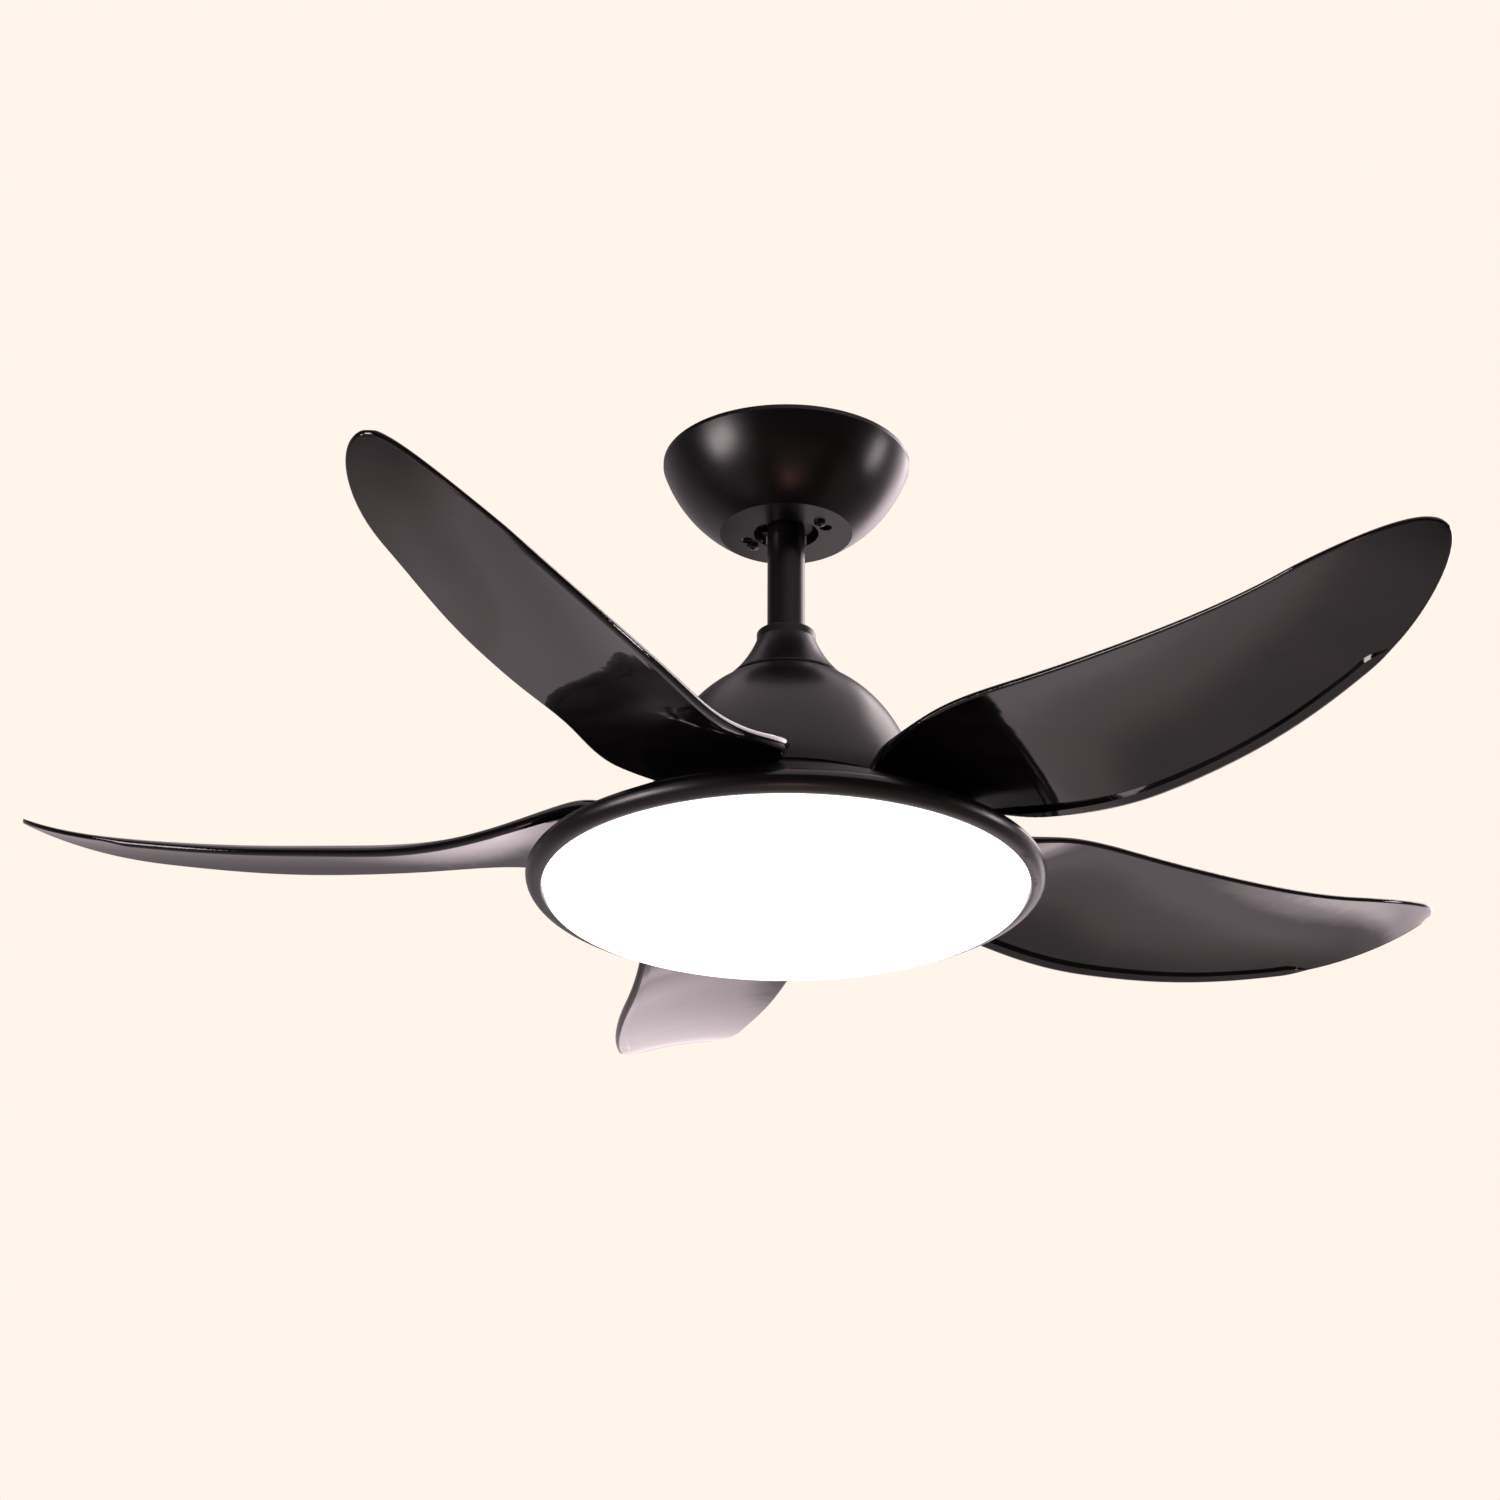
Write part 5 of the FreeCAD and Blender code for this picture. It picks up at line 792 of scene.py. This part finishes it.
warm_lamp = soft_box("warm_lamp_below", (0.1, -1.3, -2.75), (0, 0, -0.05), 0.7, 0.7, 3.1, "#ffa59c")
warm_lamp.data.use_nodes = True
lamp_tree = warm_lamp.data.node_tree
across = add(lamp_tree, "ShaderNodeNewGeometry").outputs["Parametric"]
from_middle = add(lamp_tree, "ShaderNodeVectorMath", {"operation": "DISTANCE", 1: FACE_MIDDLE}, {0: across})
fading = smooth(lamp_tree, from_middle.outputs["Value"], 0.0, 0.5, MIDDLE_GLOW, 0.0)
lamp_tree.links.new(fading, lamp_tree.nodes["Emission"].inputs["Strength"])
print("the warm lamp fades to nothing at its rim")

# %% [markdown]
# ## Floor
#
# A pale floor lies well below the fan, as in a room. It is out of the picture, but the gloss sees it: it
# is lit behind and below the fan, and falls into shade towards the front and to both sides. A lit white
# floor would be the real way, but it throws light back up on the black metal. So its paint is a mid grey,
# and its own glow gives the brightness that the gloss needs.

# %% Light and shade on the floor
LIT_BEHIND = (-3.2, -0.4, 0.02, 0.38)  # each step: from, to in metres, brightness there and there
BRIGHTER_FARTHER_BACK = ((2.1, 3.3, 0.0, 0.33), (4.2, 5.6, 0.0, 0.18))
SHADE_LEFT = (-4.4, -0.8, 0.25, 1.0)
SHADE_RIGHT = (2.2, 0.4, 0.2, 1.0)
SLANT = -0.4  # the shade on the right runs slantwise across the floor

floor_finish, tree, shader, place = finish("pale_floor_paint", "#837f7a", roughness=0.7, IOR=1.45)
tinted(tree, shader, cloudy(tree, place, 900, 0, 1), "#807c77", "#868280")
spot = add(tree, "ShaderNodeSeparateXYZ", None, {"Vector": place})
lit_behind = smooth(tree, spot.outputs["Y"], *LIT_BEHIND)
for step in BRIGHTER_FARTHER_BACK:
    lit_behind = combine(tree, "ADD", lit_behind, smooth(tree, spot.outputs["Y"], *step))
shade_left = smooth(tree, spot.outputs["X"], *SHADE_LEFT)
slanted = add(
    tree,
    "ShaderNodeMath",
    {"operation": "MULTIPLY_ADD", 1: SLANT},
    {0: spot.outputs["Y"], 2: spot.outputs["X"]},
).outputs["Value"]
shade_right = smooth(tree, slanted, *SHADE_RIGHT)
lit = combine(tree, "MULTIPLY", lit_behind, combine(tree, "MULTIPLY", shade_left, shade_right))
print("light and shade on the floor:", len(tree.nodes), "nodes")

# %% [markdown]
# ## Where the floor meets the wall
#
# A floor that stops at a wall of another brightness shows in the blades as a hard line. Real studios
# curve the backdrop down into the floor. Here the far part of the floor takes on the brightness that the
# room has in the same direction, which hides the edge without a curved sheet.

# %% Floor far out
FAR_FROM = 6.5  # metres from the fan where the floor begins to take on the wall's brightness
FAR_TO = 9.9
DAYLIGHT_ON_FLOOR = 0.22  # what the lamps and the room add to the floor's own glow

toward = add(tree, "ShaderNodeVectorMath", {"operation": "NORMALIZE"}, {0: place}).outputs["Vector"]
wall = add(
    tree,
    "ShaderNodeMath",
    {"operation": "SUBTRACT", 1: DAYLIGHT_ON_FLOOR},
    {0: room_brightness(tree, toward)},
).outputs["Value"]
distance = add(tree, "ShaderNodeVectorMath", {"operation": "LENGTH"}, {0: place}).outputs["Value"]
far = smooth(tree, distance, FAR_FROM, FAR_TO, 0.0, 1.0)
glow = add(tree, "ShaderNodeMix", {"data_type": "FLOAT"}, {0: far, 2: lit, 3: wall})
print("with its far part:", len(tree.nodes), "nodes")

# %% [markdown]
# ## The floor as the camera sees it
#
# Seen in a blade the floor is patchy and a little pink, but straight on it should be as plain as the
# backdrop. The Light Path node picks here too: for the camera's own rays the glow has one strength and
# the backdrop's cream.

# %% Floor's two looks
SEEN_GLOW = 0.8

floor_ray = add(tree, "ShaderNodeLightPath")
shown = add(
    tree,
    "ShaderNodeMix",
    {"data_type": "FLOAT", 3: SEEN_GLOW},
    {0: floor_ray.outputs["Is Camera Ray"], 2: glow.outputs[0]},
)
tree.links.new(shown.outputs[0], shader.inputs["Emission Strength"])
tone = add(
    tree,
    "ShaderNodeMix",
    {"data_type": "RGBA", 6: STUDIO_TINT, 7: linear(SEEN_CREAM)},
    {0: floor_ray.outputs["Is Camera Ray"]},
)
tree.links.new(tone.outputs[2], shader.inputs["Emission Color"])
print("with both looks:", len(tree.nodes), "nodes")

# %% [markdown]
# ## The floor's mesh
#
# One square is enough for a flat floor, made from its four corners.

# %% Floor
FLOOR_Z = -4.2
FLOOR_HALF = 9.0

floor_mesh = bpy.data.meshes.new("floor")
corners = [(sx * FLOOR_HALF, sy * FLOOR_HALF, FLOOR_Z) for sx, sy in ((-1, -1), (1, -1), (1, 1), (-1, 1))]
floor_mesh.from_pydata(corners, [], [(0, 1, 2, 3)])
floor_mesh.materials.append(floor_finish)
floor = bpy.data.objects.new("floor", floor_mesh)
bpy.context.scene.collection.objects.link(floor)
print("floor at", FLOOR_Z, "m,", 2 * FLOOR_HALF, "m wide")

# %% [markdown]
# ## Camera
#
# The camera stands in front of the fan, 1.2 m below the ceiling, and looks up at it with a long lens.
# A long lens keeps the near and the far blades close to one size. It could be turned by three angles, but
# the direction that it looks in and the one that is up in its view say the same more plainly: the three
# axes of the camera are the columns of its rotation. The Standard view transform shows colours as they
# come out, with no film curve.

# %% Camera
LENS_MM = 88.44
SENSOR_MM = 36.0
CAMERA_PLACE = (0.0, -2.273, -1.243)
LOOKS = (-0.00979, 0.91186, 0.41038)
UPWARD = (-0.00064, -0.41040, 0.91191)

camera_data = bpy.data.cameras.new("camera")
camera_data.lens = LENS_MM
camera_data.sensor_width = SENSOR_MM
camera = bpy.data.objects.new("camera", camera_data)
bpy.context.scene.collection.objects.link(camera)
ahead = Vector(LOOKS).normalized()
right = ahead.cross(Vector(UPWARD)).normalized()
up = right.cross(ahead)
turn = Matrix((right, up, -ahead)).transposed()
camera.matrix_world = Matrix.Translation(CAMERA_PLACE) @ turn.to_4x4()
bpy.context.scene.camera = camera
bpy.context.scene.view_settings.view_transform = "Standard"
print("camera at", [round(v, 3) for v in camera.matrix_world.translation])
